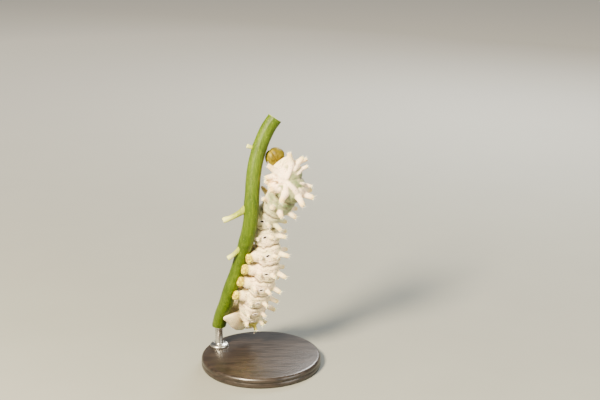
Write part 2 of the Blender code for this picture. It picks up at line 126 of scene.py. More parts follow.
def paint(piece, name, values):
    made = piece.data.attributes.new(name, "FLOAT", "POINT")
    made.data.foreach_set("value", np.asarray(values, np.float32))


def seatOn(piece, point):  # nearest place on a piece's surface, and the way out of it
    spot, normal = piece.closest_point_on_mesh(Vector(point))[1:3]
    return np.array(spot), np.array(normal)


def only(piece):
    bpy.ops.object.select_all(action="DESELECT")
    piece.select_set(True)
    bpy.context.view_layer.objects.active = piece


def closeMesh(piece):
    only(piece)
    bpy.ops.object.mode_set(mode="EDIT")
    bpy.ops.mesh.select_all(action="SELECT")
    bpy.ops.mesh.remove_doubles(threshold=mergeDistance)
    bpy.ops.mesh.select_all(action="SELECT")
    bpy.ops.mesh.fill_holes(sides=0)
    bpy.ops.mesh.select_all(action="SELECT")
    bpy.ops.mesh.normals_make_consistent(inside=False)
    bpy.ops.object.mode_set(mode="OBJECT")


def rolledTube(name, steps, sides, shape):  # a flat grid rolled up; shape takes shares and angles
    bpy.ops.mesh.primitive_grid_add(x_subdivisions=steps, y_subdivisions=sides, size=2)
    tube = bpy.context.object
    tube.name = name
    flat = cornersOf(tube)
    setCorners(tube, shape((flat[:, 0] + 1) / 2, (flat[:, 1] + 1) * math.pi))
    closeMesh(tube)
    return tube


def turned(name, profile, middle, sides):  # a line of radius and height, spun round an upright axis
    bpy.ops.mesh.primitive_plane_add(size=1)
    piece = bpy.context.object
    piece.name = name
    points = [(middle[0] + radius, middle[1], height) for radius, height in profile]
    segments = [(n, n + 1) for n in range(len(points) - 1)]
    piece.data.clear_geometry()
    piece.data.from_pydata((np.array(points) * mm).tolist(), segments, [])
    only(piece)
    bpy.ops.object.mode_set(mode="EDIT")
    bpy.ops.mesh.select_all(action="SELECT")
    centre = (middle[0] * mm, middle[1] * mm, 0)
    bpy.ops.mesh.spin(steps=sides, angle=2 * math.pi, center=centre, axis=(0, 0, 1))
    bpy.ops.object.mode_set(mode="OBJECT")
    closeMesh(piece)
    return piece


def joinAll(name, pieces):
    bpy.ops.object.select_all(action="DESELECT")
    for piece in pieces:
        piece.select_set(True)
    bpy.context.view_layer.objects.active = pieces[0]
    bpy.ops.object.join()
    joined = bpy.context.object
    joined.name = name
    joined.data.name = name
    return joined


def copies(name, form, placements):  # one mesh of many copies; a placement is an origin and its axes
    corners = cornersOf(form)
    faces = [list(face.vertices) for face in form.data.polygons]
    points = []
    allFaces = []
    for count, (origin, axes) in enumerate(placements):
        points.append(np.array(origin) + corners @ np.array(axes))
        start = count * len(corners)
        allFaces.extend([[start + corner for corner in face] for face in faces])
    bpy.data.objects.remove(form)
    mesh = bpy.data.meshes.new(name)
    mesh.from_pydata(np.concatenate(points).tolist(), [], allFaces)
    made = bpy.data.objects.new(name, mesh)
    bpy.context.scene.collection.objects.link(made)
    return made


def dress(piece, material, nodes=()):
    piece.data.materials.clear()
    piece.data.materials.append(material)
    only(piece)
    bpy.ops.object.shade_smooth_by_angle(angle=smoothAngle)
    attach(piece, "root")
    if nodes:
        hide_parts(*nodes)


def nodesNamed(*starts):
    return [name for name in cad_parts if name.startswith(starts)]


def unit(vectors):
    return vectors / np.linalg.norm(vectors, axis=-1, keepdims=True)


def dots(first, second):
    return (first * second).sum(axis=-1, keepdims=True)


def rise(value, none, full):  # 0 at the first edge, 1 at the second, smooth between; either may be higher
    share = np.clip((value - none) / (full - none), 0, 1)
    return share * share * (3 - 2 * share)


def ridge(value, middle, width):  # 1 at the middle, fading to both sides
    return np.exp(-((value - middle) / width) ** 2)


def noiseOver(points):  # smooth noise, about -1 to 1, at points given in lumps
    return np.array([noise.noise(point) for point in points.tolist()])


def routeValues(rows, places):  # a smooth curve through the rows, read at places along it
    rows = np.array(rows, float)
    padded = np.vstack((2 * rows[0] - rows[1], rows, 2 * rows[-1] - rows[-2]))
    places = np.asarray(places, float)
    start = np.clip(np.floor(places).astype(int), 0, len(rows) - 2)
    t = (places - start)[..., None]
    p0, p1, p2, p3 = (padded[start + n] for n in range(4))
    square = (2 * p0 - 5 * p1 + 4 * p2 - p3) * t ** 2
    return (2 * p1 + (p2 - p0) * t + square + (3 * p1 - p0 - 3 * p2 + p3) * t ** 3) / 2


# The larva's and the stalk's form, with the same sizes as their solids

larva = {
    # centre x, y, z and radius of each ring in mm, head to tail, then the turn of its back in degrees
    "route": (
        (6.0, -3.2, 83.9, 3.5, 82.0), (9.9, -6.0, 79.6, 5.2, 82.0), (11.0, -6.8, 73.4, 5.6, 76.0),
        (7.0, -5.0, 67.2, 5.3, 44.0), (2.4, -2.6, 60.6, 4.9, 14.0), (2.2, -2.6, 53.8, 5.1, 0.0),
        (2.7, -3.0, 46.9, 5.3, -6.0), (1.9, -2.6, 40.3, 5.3, -7.0), (-0.1, -1.3, 34.7, 5.5, -8.0),
        (-2.0, 1.3, 29.3, 6.0, -12.0), (-3.4, 4.5, 24.0, 6.1, -16.0), (-4.3, 7.9, 19.4, 5.7, -18.0),
        (-4.9, 10.9, 15.6, 4.9, -20.0), (-5.4, 13.5, 12.5, 3.9, -20.0),
    ),
    "frameStep": 0.45,  # how far ahead and behind the body's direction is read
    "creaseShare": 0.88,
    "creaseSharpness": 5,
    "bellyFlattening": 0.10,
    "sideFold": 0.05,
    "sideFoldAngle": 118.0,
    "sideFoldSpread": 16.0,
    "front": 0.42,  # where the skin starts, round the back of the head
    "frontCap": 0.05,  # it closes over this length ahead of that
    "frontFold": 1.5,  # the fold behind the first ring
    "tailStart": 12.5,
    "tailLength": 1.02,
    "tailShares": ((0.0, 0.92), (0.2, 1.0), (0.55, 0.99), (0.8, 0.82), (0.95, 0.52), (1.0, 0.0)),
    "sides": 96,
    "ringsPerSegment": 20,
}

stalk = {
    # middle line from the upper cut down to the lower one, mm
    "route": (
        (5.9, -2.0, 98.6), (3.0, -3.0, 94.3), (0.0, -4.9, 87.3), (-1.8, -7.0, 79.5), (-2.6, -9.0, 70.0),
        (-3.2, -9.0, 61.3), (-4.8, -7.6, 53.4), (-6.7, -4.9, 46.0), (-8.9, -3.0, 38.5),
        (-11.4, -1.0, 31.3), (-13.3, 1.5, 24.5), (-15.2, 5.0, 18.5), (-16.6, 8.0, 12.5),
    ),
    "frameStep": 0.05,
    "radius": 2.7,
    "footHeight": 12.5,
    "capShare": 0.03,  # share of the tube at each end that makes the flat cut
    "ribs": (10, 0.008),  # number and height, as a share of the radius
    "unevenness": 0.012,
    # cut side veins: place along the route, reach from the middle line and radius in mm, then the
    # height, as a share of the radius, and the half length of the stalk's swelling there
    "veins": (
        (1.9, (-4.6, -0.6, 1.2), 0.7, 0.03, 0.16),
        (4.25, (-10.5, 0.0, -5.5), 0.95, 0.05, 0.2),
        (6.1, (-6.8, 0.0, -6.1), 0.85, 0.04, 0.2),
    ),
    "veinShares": (0.15, 0.43, 0.72, 1.0),  # points of a vein's middle line
    "veinProfile": (
        (0, 1.9, 1.9), (0.14, 1.5, 1.5), (0.28, 1.2, 1.15), (0.5, 1.02, 1.0), (0.72, 0.98, 0.96),
        (0.86, 1.12, 1.1), (0.95, 1.16, 1.14), (0.99, 1.02, 1.0), (1, 0.9, 0.88),
    ),
    "veinDroop": 0.06,
    "veinSag": 0.32,
    "sides": 72,
    "steps": 260,
    "lineSteps": 480,  # for finding the nearest place on the middle line
}
tailRing = len(larva["route"]) - 1
stalkEnd = len(stalk["route"]) - 1


def bodyFrames(places):  # centre, forward, back and left directions and radius, in metres
    places = np.asarray(places, float)
    values = routeValues(larva["route"], places)
    ahead = routeValues(larva["route"], places - larva["frameStep"])[..., :3]
    behind = routeValues(larva["route"], places + larva["frameStep"])[..., :3]
    forward = unit(ahead - behind)
    turn = np.radians(values[..., 4])
    back = np.stack((np.cos(turn), -np.sin(turn), np.zeros_like(turn)), axis=-1)
    back = unit(back - forward * dots(back, forward))
    return values[..., :3] * mm, forward, back, np.cross(back, forward), values[..., 3] * mm


def sectionShape(angle):  # flatter below, with a fleshy fold along each side
    fromBack = np.degrees(np.abs(np.arctan2(np.sin(angle), np.cos(angle))))
    belly = larva["bellyFlattening"] * np.maximum(0, -np.cos(angle)) ** 2
    return 1 - belly + larva["sideFold"] * ridge(fromBack, larva["sideFoldAngle"], larva["sideFoldSpread"])


def lengthShape(places):  # full in the middle of each ring, drawn in at the folds, closed at the ends
    offMiddle = np.abs(2 * (places - np.round(places)))
    middle = (larva["front"] + larva["frontFold"]) / 2
    offFirst = np.abs(places - middle) / (larva["frontFold"] - middle)
    offMiddle = np.where(places < larva["frontFold"], np.minimum(offFirst, 1), offMiddle)
    share = larva["creaseShare"] + (1 - larva["creaseShare"]) * (1 - offMiddle ** larva["creaseSharpness"])
    stations, shares = zip(*larva["tailShares"])
    tail = np.interp((places - larva["tailStart"]) / larva["tailLength"], stations, shares)
    share = np.where(places > larva["tailStart"], tail, share)
    return share * np.clip((places - larva["front"] + larva["frontCap"]) / larva["frontCap"], 0, 1)


def onBody(places, angles, extra=0.0):  # points on the plain body, in metres
    centre, forward, back, left, radius = bodyFrames(places)
    reach = radius * sectionShape(angles) * lengthShape(places) + extra
    outward = back * np.cos(angles)[..., None] + left * np.sin(angles)[..., None]
    return centre + outward * reach[..., None]


def outwardAt(back, left, degrees):
    turn = math.radians(degrees)
    return back * math.cos(turn) + left * math.sin(turn)


def stalkFrames(places):
    centre = routeValues(stalk["route"], places) * mm
    above = routeValues(stalk["route"], np.asarray(places) - stalk["frameStep"])
    below = routeValues(stalk["route"], np.asarray(places) + stalk["frameStep"])
    along = unit(below - above)
    side = unit(np.cross(along, (0.0, 1.0, 0.0)))
    return centre, along, side, np.cross(along, side)


stalkPlaces = np.linspace(0, stalkEnd, stalk["lineSteps"] + 1)
stalkLine = stalkFrames(stalkPlaces)[0]


def nearestOnStalk(point):
    return stalkPlaces[np.linalg.norm(stalkLine - point, axis=-1).argmin()]


def gripPoint(place, centre, out, angle, clearance):  # beside the stalk, turned round it from the body
    middle, along, side, depth = stalkFrames(place)
    towards = centre - middle
    towards = unit(towards - along * towards.dot(along))
    beside = unit(np.cross(along, towards))
    beside = beside * np.sign(beside.dot(out))
    reach = (stalk["radius"] + clearance) * mm
    return middle + outwardAt(towards, beside, angle) * reach


def limb(name, path, wide, profile, sides=28, steps=40):  # path in metres; profile is share, half widths
    rows = np.array(profile)
    last = len(path) - 1
    nudge = 0.02

    def shape(share, angle):
        along = np.minimum(share, 1.0) * last
        centre = routeValues(path, along)
        direction = unit(routeValues(path, along + nudge) - routeValues(path, along - nudge))
        across = unit(wide - direction * dots(np.broadcast_to(wide, direction.shape), direction))
        up = np.cross(direction, across)
        width = np.interp(share, rows[:, 0], rows[:, 1])[:, None] * mm
        thickness = np.interp(share, rows[:, 0], rows[:, 2])[:, None] * mm
        return centre + across * np.cos(angle)[:, None] * width + up * np.sin(angle)[:, None] * thickness

    return rolledTube(name, steps, sides, shape)


# Fleshy cones

tubercles = {
    # for each ring: angle from the middle of the back, length in mm, place along the ring, lean, stoutness
    1: ((36, 4.6, -0.12, -56, 1.1), (66, 3.7, -0.05, -12, 1.05), (98, 3.8, -0.10, 6, 1.0),
        (80, 2.8, 0.21, -8, 0.8)),
    2: ((26.5, 4.8, 0.05, 25, 1.2), (61, 4.4, 0.05, -4, 1.15), (98, 3.9, 0.08, -12, 1.05),
        (80, 2.8, -0.21, 9, 0.8)),
    3: ((27, 3.7, 0.0, -12, 1.1), (62, 2.9, 0.0, -26, 1.05), (98, 2.9, 0.0, -10, 1.0)),
    "middle": ((28, 3.7, 0.0, 6, 1.0), (65, 2.4, 0.0, -10, 0.85), (114, 1.8, 0.0, -8, 0.75)),
    10: ((28, 3.6, 0.0, 10, 1.0), (65, 2.4, 0.0, -4, 0.85), (114, 1.8, 0.0, -4, 0.75)),
    11: ((65, 2.8, 0.0, 12, 0.9), (114, 1.9, 0.0, 4, 0.8)),
    12: ((34, 2.7, 0.0, 22, 0.9), (80, 2.3, 0.0, 18, 0.8)),
    "horn": (0, 3.4, 0.0, 16, 1.0),  # the single one on the middle of the back, on the last ring but two
    "hornRing": 11,
    "rings": range(1, 13),
    "baseRadius": 1.0,
    "stalkRoom": 0.58 * 1.4 + 0.32,  # a blunt tip and a gap, kept free beside the stalk
    "shortest": 0.8,
    "trim": 0.2,
    "sunk": 1.3,
    "bend": (0.14, 0.05, 0.3),  # spread to the sides, then least and most towards the tail
    "bendReach": 0.4,
    # half width and height along one cone, from its root to its blunt tip
    "profile": (
        (0.0, 1.1), (0.20, 1.22), (0.28, 1.24), (0.36, 1.08), (0.46, 0.98), (0.60, 0.92),
        (0.76, 0.88), (0.88, 0.84), (0.94, 0.70), (0.98, 0.44), (1.0, 0.12),
    ),
}


def tubercleList():  # root, direction, forward direction, length in metres and stoutness of every cone
    made = []
    room = (stalk["radius"] + tubercles["stalkRoom"]) * mm
    for index in tubercles["rings"]:
        rows = tubercles.get(index, tubercles["middle"])
        both = [(side * row[0], *row[1:]) for row in rows for side in (1, -1)]
        if index == tubercles["hornRing"]:
            both.append(tubercles["horn"])
        for angle, length, place, lean, stoutness in both:
            centre, forward, back, left, radius = bodyFrames(index + place)
            outward = outwardAt(back, left, angle)
            root = centre + outward * radius * sectionShape(np.array(math.radians(angle)))
            slope = math.radians(lean)
            along = unit(outward * math.cos(slope) - forward * math.sin(slope))
            while length > tubercles["shortest"]:
                tip = root + along * length * mm
                if np.linalg.norm(stalkLine - tip, axis=-1).min() > room:
                    break
                length -= tubercles["trim"]
            made.append((root, along, forward, length * mm, stoutness))
    return made


def tubercleForms(cones):
    pieces = []
    sunk = tubercles["sunk"] * mm
    sideways, least, most = tubercles["bend"]
    for root, along, forward, length, stoutness in cones:
        girth = stoutness * tubercles["baseRadius"]
        rows = [(share, width * girth, width * girth) for share, width in tubercles["profile"]]
        aside = unit(np.cross(along, forward)) * chance.normal(0, sideways)
        bend = aside - forward * chance.uniform(least, most)
        tip = root + along * length + bend * tubercles["bendReach"] * mm
        path = [root - along * sunk, root + along * (length - sunk) / 2, tip]
        pieces.append(limb("cone", path, forward, rows, 18, 22))
    return pieces


# False legs and claspers

falseLegs = {
    "rings": (6, 7, 8, 9),
    "root": (146.0, 0.62),  # angle from the middle of the back, and share of the body's radius
    "hold": 68.0,  # angle round the stalk
    "clearance": 0.75,
    "pathShares": (0.0, 0.5, 1.10),
    "profile": (
        (0.0, 2.6, 2.3), (0.40, 2.35, 2.05), (0.58, 2.1, 1.75), (0.68, 1.72, 1.4), (0.76, 1.9, 1.5),
        (0.86, 2.08, 1.55), (0.94, 2.0, 1.4), (0.98, 1.6, 1.0), (1.0, 0.9, 0.5),
    ),
}

claspers = {
    "place": 0.05,  # behind the middle of the last ring
    "root": (100.0, 0.30),
    "reachUp": 9.6,  # how far up the stalk they hold, mm
    "side": (46.0, 2.6),  # angle round the stalk and clearance where one passes its side
    "tip": (104.0, 0.85),
    "profile": (
        (0.0, 1.6, 0.7), (0.04, 2.7, 1.1), (0.12, 3.7, 1.4), (0.28, 4.3, 1.5), (0.50, 3.7, 1.3),
        (0.72, 2.4, 1.0), (0.90, 1.25, 0.7), (0.97, 0.8, 0.5), (1.0, 0.3, 0.2),
    ),
}


def falseLegPaths():  # root and foot in metres, and the body's forward direction
    paths = []
    angle, share = falseLegs["root"]
    for index in falseLegs["rings"]:
        centre, forward, back, left, radius = bodyFrames(index)
        place = nearestOnStalk(centre - back * radius)
        for side in (1, -1):
            foot = gripPoint(place, centre, left * side, falseLegs["hold"], falseLegs["clearance"])
            root = centre + outwardAt(back, left, angle * side) * radius * share
            paths.append((root, foot, forward))
    return paths


def limbForms():
    pieces = []
    for root, foot, forward in falseLegPaths():
        path = [root + (foot - root) * share for share in falseLegs["pathShares"]]
        pieces.append(limb("falseLeg", path, forward, falseLegs["profile"]))
    centre, forward, back, left, radius = bodyFrames(tailRing + claspers["place"])
    place = nearestOnStalk(centre + forward * claspers["reachUp"] * mm)
    angle, share = claspers["root"]
    for side in (1, -1):
        root = centre + outwardAt(back, left, angle * side) * radius * share
        beside = gripPoint(place, centre, left * side, *claspers["side"])
        tip = gripPoint(place, centre, left * side, *claspers["tip"])
        wide = unit(forward + np.array((0.0, 0.0, 1.0)))
        pieces.append(limb("clasper", [root, (root + 2 * beside + tip) / 4, tip], wide, claspers["profile"]))
    return pieces


# Low forms of the flank, the front rings and the tail

lobes = {
    "rings": range(3, 12),
    "angle": 118.0,
    "places": (-0.33, 0.0, 0.30),  # along the ring
    "sunk": 0.7,
    "profile": ((0, 0.3, 0.3), (0.15, 0.95, 1.0), (0.5, 1.3, 1.5), (0.85, 0.95, 1.0), (1, 0.3, 0.3)),
}

star = {
    "middle": (1.45, 22.0),  # place and angle where the ridges of the front rings meet on the back
    "rings": (1, 2),
    "straightAngle": 45.0,  # a ridge to a cone nearer the back's middle than this runs in from the middle
    "sideStart": 0.55,  # the others start this far out
    "sunk": 0.3,
    "profile": ((0, 0.5, 0.7), (0.3, 0.8, 1.0), (0.8, 1.0, 1.1), (1, 1.1, 1.0)),
    # smooth plates: from and to along the body, angle, depth, place that gives their width's direction,
    # steps and profile; the first is where the ridges meet, the second is behind the head
    "plates": (
        ((1.0, 1.8), 22.0, 1.2, 1.45, 30, (
            (0, 0.6, 0.3), (0.15, 2.1, 1.1), (0.5, 2.9, 1.7), (0.85, 2.0, 1.3), (1, 0.5, 0.3))),
        ((0.48, 0.72), 6.0, 1.15, 1.0, 24, (
            (0, 1.6, 0.8), (0.15, 2.7, 1.15), (0.5, 3.3, 1.35), (0.85, 2.7, 1.2), (1, 1.2, 0.4))),
    ),
}

tailPlate = {
    "place": 0.35,
    "height": 0.62,  # of its middle, as a share of the body's radius
    "lean": 0.55,
    "halfDepth": 1.75,
    "profile": ((0, 0.3, 0.3), (0.12, 1.4, 1.3), (0.5, 2.3, 2.1), (0.88, 1.4, 1.3), (1, 0.3, 0.3)),
}


def flankLobes():
    pieces = []
    for index in lobes["rings"]:
        for side in (1, -1):
            angles = np.full(len(lobes["places"]), math.radians(lobes["angle"]) * side)
            path = onBody(index + np.array(lobes["places"]), angles, -lobes["sunk"] * mm)
            wide = unit(path[0] - bodyFrames(float(index))[0])
            pieces.append(limb("lobe", path, wide, lobes["profile"], 16, 14))
    return pieces


def starForms():  # the plates, then a ridge from the star's middle towards each cone of the front rings
    share = np.linspace(0, 1, 4)
    pieces = []
    for (start, end), angle, sunk, framePlace, steps, profile in star["plates"]:
        path = onBody(np.interp(share, (0, 1), (start, end)), np.radians(angle) + share * 0, -sunk * mm)
        pieces.append(limb("plate", path, bodyFrames(framePlace)[3], profile, 32, steps))
    place, turn = star["middle"]
    starFrames = bodyFrames(place)
    for index in star["rings"]:
        for angle, length, along, lean, stoutness in tubercles[index]:
            straight = angle < star["straightAngle"]
            reach = share if straight else star["sideStart"] + share * (1 - star["sideStart"])
            across = starFrames[3] if straight else starFrames[1]
            rows = [(step, wide * stoutness, thick) for step, wide, thick in star["profile"]]
            for side in (1, -1):
                away = place + reach * (index + along - place)
                turns = np.radians(turn + reach * (angle * side - turn))
                pieces.append(limb("ridge", onBody(away, turns, -star["sunk"] * mm), across, rows, 16, 20))
    return pieces


def tailPlateForm():
    centre, forward, back, left, radius = bodyFrames(tailRing + tailPlate["place"])
    middle = centre + back * radius * tailPlate["height"]
    reach = unit(back - forward * tailPlate["lean"]) * tailPlate["halfDepth"] * mm
    return limb("tailPlate", [middle - reach, middle, middle + reach], left, tailPlate["profile"], 24, 20)


# Skin

skin = {
    "voxel": 0.26,  # mm
    "smoothing": 2,
    # depths in mm; widths and shifts along the body, in rings
    "foldDepth": 0.34,
    "foldWidth": 0.055,
    "annuletDepth": 0.13,
    "annuletWidth": 0.036,
    "annuletShift": 0.01,
    "wrinkleDepth": 0.13,
    "wrinkleWidth": 0.10,
    "pebbleDepth": 0.035,
    "footLumps": 0.17,
    "paintedHighlight": (1.12, 32.0),  # place and angle of a painted highlight on the star, on the side that faces the key lamp
    "patch": (11.8, 96.0),  # place and angle of the greenish spot on each side of the tail
    "tailPatch": (0.35, 1.2),  # and of the one over the tail: place in the ring, height in radii
    # sizes of the noise that shapes it, in mm
    "warpSize": 2.4,
    "wrinkleSize": 3.5,
    "pebbleSize": 0.75,
    "patchSize": 1.9,
    "lumpSize": 0.62,
}

# Soft edges of what is shaped or painted: nothing at the first value, full at the second. Places are
# rings along the body, angles radians from the middle of the back, heights and distances mm.
edges = {
    "clasperHeight": (0.6, 1.6), "clasperPlace": (11.6, 12.3), "clasperAngle": (1.2, 1.5),
    "fleshHeight": (1.1, 0.35), "backAngle": (1.15, 0.75), "platePlace": (0.75, 0.55),
    "wrinkled": (-0.35, 0.25), "frontStart": (0.74, 0.95), "frontEnd": (3.5, 2.7),
    "topAngle": (2.35, 1.55), "highlightReach": (4.0, 2.6), "valleyHeight": (0.6, -0.05),
    "plateHeight": (0.15, 0.6), "plateAngle": (2.0, 1.2), "tipShare": (0.35, 1.0), "tipReach": (2.0, 1.5),
    "footShare": (0.55, 0.85), "footReach": (2.6, 2.0), "lump": (-0.15, 0.35),
    "patchReach": (3.6, 1.8), "tailPatchReach": (2.3, 1.5), "starBehind": (2.4, 3.2),
    "starFaded": (5.6, 4.2), "tailwards": (9.2, 12.0),
}
foldedPlaces = (0.8, 12.9)
annuletPlaces = (1, 12.4)


def edge(name, value):
    return rise(value, *edges[name])


def bodyTube():
    low = larva["front"] - larva["frontCap"]
    high = larva["tailStart"] + larva["tailLength"]
    steps = int((high - low) * larva["ringsPerSegment"])
    return rolledTube("bodyTube", steps, larva["sides"], lambda share, angle: onBody(
        low + share * (high - low), angle))


def fuseSkin(cones):
    forms = [bodyTube()] + tubercleForms(cones) + limbForms() + flankLobes() + starForms() + [tailPlateForm()]
    joined = joinAll("larvaSkin", forms)
    only(joined)
    remesh = joined.modifiers.new("Fuse", "REMESH")
    remesh.mode = "VOXEL"
    remesh.voxel_size = skin["voxel"] * mm
    bpy.ops.object.modifier_apply(modifier=remesh.name)
    smooth = joined.modifiers.new("Soften", "SMOOTH")
    smooth.factor = 0.5
    smooth.iterations = skin["smoothing"]
    bpy.ops.object.modifier_apply(modifier=smooth.name)
    return joined


def bodyPlaces(points):  # place along the body, angle from the back's middle, height over the plain body
    samples = np.linspace(0.4, 13.6, 660)
    chunk = 4000
    centre, forward, back, left, radius = bodyFrames(samples)
    nearest = np.empty(len(points), int)
    for start in range(0, len(points), chunk):
        part = points[start:start + chunk]
        nearest[start:start + chunk] = ((part[:, None] - centre[None]) ** 2).sum(-1).argmin(1)
    offset = points - centre[nearest]
    spacing = np.linalg.norm(np.gradient(centre, axis=0), axis=1) / (samples[1] - samples[0])
    places = samples[nearest] + dots(offset, -forward[nearest])[:, 0] / spacing[nearest]
    aside = dots(offset, left[nearest])[:, 0]
    upward = dots(offset, back[nearest])[:, 0]
    angles = np.arctan2(aside, upward)
    height = np.hypot(aside, upward) - radius[nearest] * sectionShape(angles) * lengthShape(places)
    return places, angles, height


# Folds between the rings and a finer line on each, both waving, with short wrinkles and pebbling. The
# back of the front rings stays smooth.
def foldSkin(piece, points, places, angles, onFlesh):
    around = np.abs(angles)
    plated = edge("platePlace", np.abs(places - 1.5)) * edge("backAngle", around)
    zigzag = ridge(around, 1.75, 0.42) * (0.045 + 0.030 * np.sin(around * 11))
    wave = noiseOver(np.column_stack((places * 1.1, angles * 1.6, places * 0))) * 0.05 + zigzag
    folded = (places > foldedPlaces[0]) & (places < foldedPlaces[1])
    foldWave = np.cos(math.pi * (places - wave))
    fold = ridge(foldWave, 0, math.pi * skin["foldWidth"]) * (1 - 0.85 * plated) * folded
    annuletWave = np.cos(2 * math.pi * (places - wave * 0.8 + skin["annuletShift"]))
    strength = noiseOver(np.column_stack((places * 2.1, angles * 2.2, places * 0 + 3)))
    strength = np.clip(0.65 + 0.5 * strength, 0, 1)
    annulet = ridge(annuletWave, 0, 2 * math.pi * skin["annuletWidth"]) * strength * (1 - plated)
    annulet *= (places > annuletPlaces[0]) & (places < annuletPlaces[1])

    inMm = points / mm
    ringLength, girth = 6.5, 5.2  # mm per ring and mm per radian, so that wrinkles run round the body
    across = np.column_stack((places * ringLength / 1.5, angles * girth / 3.2, places * 0 + 7.7))
    squiggle = noiseOver(across + noiseOver(inMm / skin["warpSize"])[:, None] * 0.5)
    wrinkle = np.clip(1 - np.abs(squiggle) / skin["wrinkleWidth"], 0, 1)
    wrinkle *= edge("wrinkled", noiseOver(inMm / skin["wrinkleSize"])) * (1 - 0.8 * plated)
    inward = fold * skin["foldDepth"] + annulet * skin["annuletDepth"] + wrinkle * skin["wrinkleDepth"]
    inward = inward * onFlesh - noiseOver(inMm / skin["pebbleSize"]) * skin["pebbleDepth"]
    setCorners(piece, points - normalsOf(piece) * inward[:, None] * mm)
    # Painted shade: darker in the folds, ring lines and wrinkles; the waves kept below draw thin painted
    # shade lines along them.
    paint(piece, "foldShadeTone", np.clip(fold * 0.8 + annulet * 0.5 + wrinkle * 0.75, 0, 1) * onFlesh)
    paint(piece, "foldWave", np.where(folded, foldWave, 1))
    paint(piece, "annuletWave", annuletWave + (1 - strength) * 0.5)
    paint(piece, "squiggle", squiggle)
    paint(piece, "openFlesh", onFlesh * (1 - plated))


def distances(points, place, angle):  # from a spot on the body, in mm
    spot = onBody(np.array(place), np.array(math.radians(angle)))
    return np.linalg.norm(points - spot, axis=1) / mm


def paintStar(piece, points, places, around, height):  # painted light on the heights, painted shade in the valleys
    frontRings = edge("frontEnd", places) * edge("frontStart", places)
    patchy = 0.85 + 0.3 * noiseOver(points / mm / skin["patchSize"])
    # A painted highlight: whitest on the side of the star that faces the key lamp.
    paintedHighlight = edge("highlightReach", distances(points, *skin["paintedHighlight"]))
    # Painted shade: dark green down in the valleys between the ridges of the front rings.
    valleyShade = edge("valleyHeight", height) * frontRings * edge("topAngle", around) * patchy
    # Painted light: paler on the raised plates and ridges of the front rings.
    plate = edge("plateHeight", height) * frontRings * edge("plateAngle", around)
    paint(piece, "valleyShadeTone", valleyShade * (1 - 0.9 * paintedHighlight))
    paint(piece, "plateLightTone", np.maximum(plate, paintedHighlight))


def paintTips(piece, points, cones):
    tone = np.zeros(len(points))
    for root, along, forward, length, stoutness in cones:
        offset = points - root
        reach = dots(offset, along)[:, 0]
        aside = np.linalg.norm(offset - along * reach[:, None], axis=1) / mm
        tone = np.maximum(tone, edge("tipShare", reach / length) * edge("tipReach", aside))
    paint(piece, "tipTone", tone)


def lumpFeet(piece, points):  # golden, lumpy soles
    tone = np.zeros(len(points))
    for root, foot, forward in falseLegPaths():
        offset = points - root
        direction = unit(foot - root)
        reach = dots(offset, direction)[:, 0] / np.linalg.norm(foot - root)
        aside = np.linalg.norm(offset - direction * dots(offset, direction), axis=1) / mm
        tone = np.maximum(tone, edge("footShare", reach) * edge("footReach", aside))
    paint(piece, "footTone", tone)
    lumps = noiseOver(points / mm / skin["lumpSize"])
    paint(piece, "lumpTone", edge("lump", lumps))
    setCorners(piece, points + normalsOf(piece) * (lumps * tone * skin["footLumps"] * mm)[:, None])


def paintPatches(piece, points, places, onClasper):
    place, angle = skin["patch"]
    tone = edge("patchReach", np.minimum(distances(points, place, angle), distances(points, place, -angle)))
    place, high = skin["tailPatch"]
    centre, forward, back, left, radius = bodyFrames(tailRing + place)
    fromTail = np.linalg.norm(points - (centre + back * radius * high), axis=1) / mm
    paint(piece, "patchTone", np.maximum(tone, edge("tailPatchReach", fromTail)))
    # Painted shade: grey-green behind the star, under the front rings' overhang; a greenish blood tint
    # towards the tail and on the claspers.
    starShade = edge("starBehind", places) * edge("starFaded", places)
    nearTail = edge("tailwards", places) * 0.5
    paint(piece, "bloodTintAndShadeTone", np.maximum(np.maximum(starShade, nearTail), onClasper * 0.9))


def makeSkin(cones):
    piece = fuseSkin(cones)
    points = cornersOf(piece)
    places, angles, height = bodyPlaces(points)
    height = height / mm
    around = np.abs(angles)
    onClasper = edge("clasperHeight", height) * edge("clasperPlace", places) * edge("clasperAngle", around)
    onFlesh = np.maximum(edge("fleshHeight", height), onClasper * 0.7)
    foldSkin(piece, points, places, angles, onFlesh)
    paintStar(piece, points, places, around, height)
    paintTips(piece, points, cones)
    points = cornersOf(piece)
    lumpFeet(piece, points)
    paintPatches(piece, points, places, onClasper)
    return piece
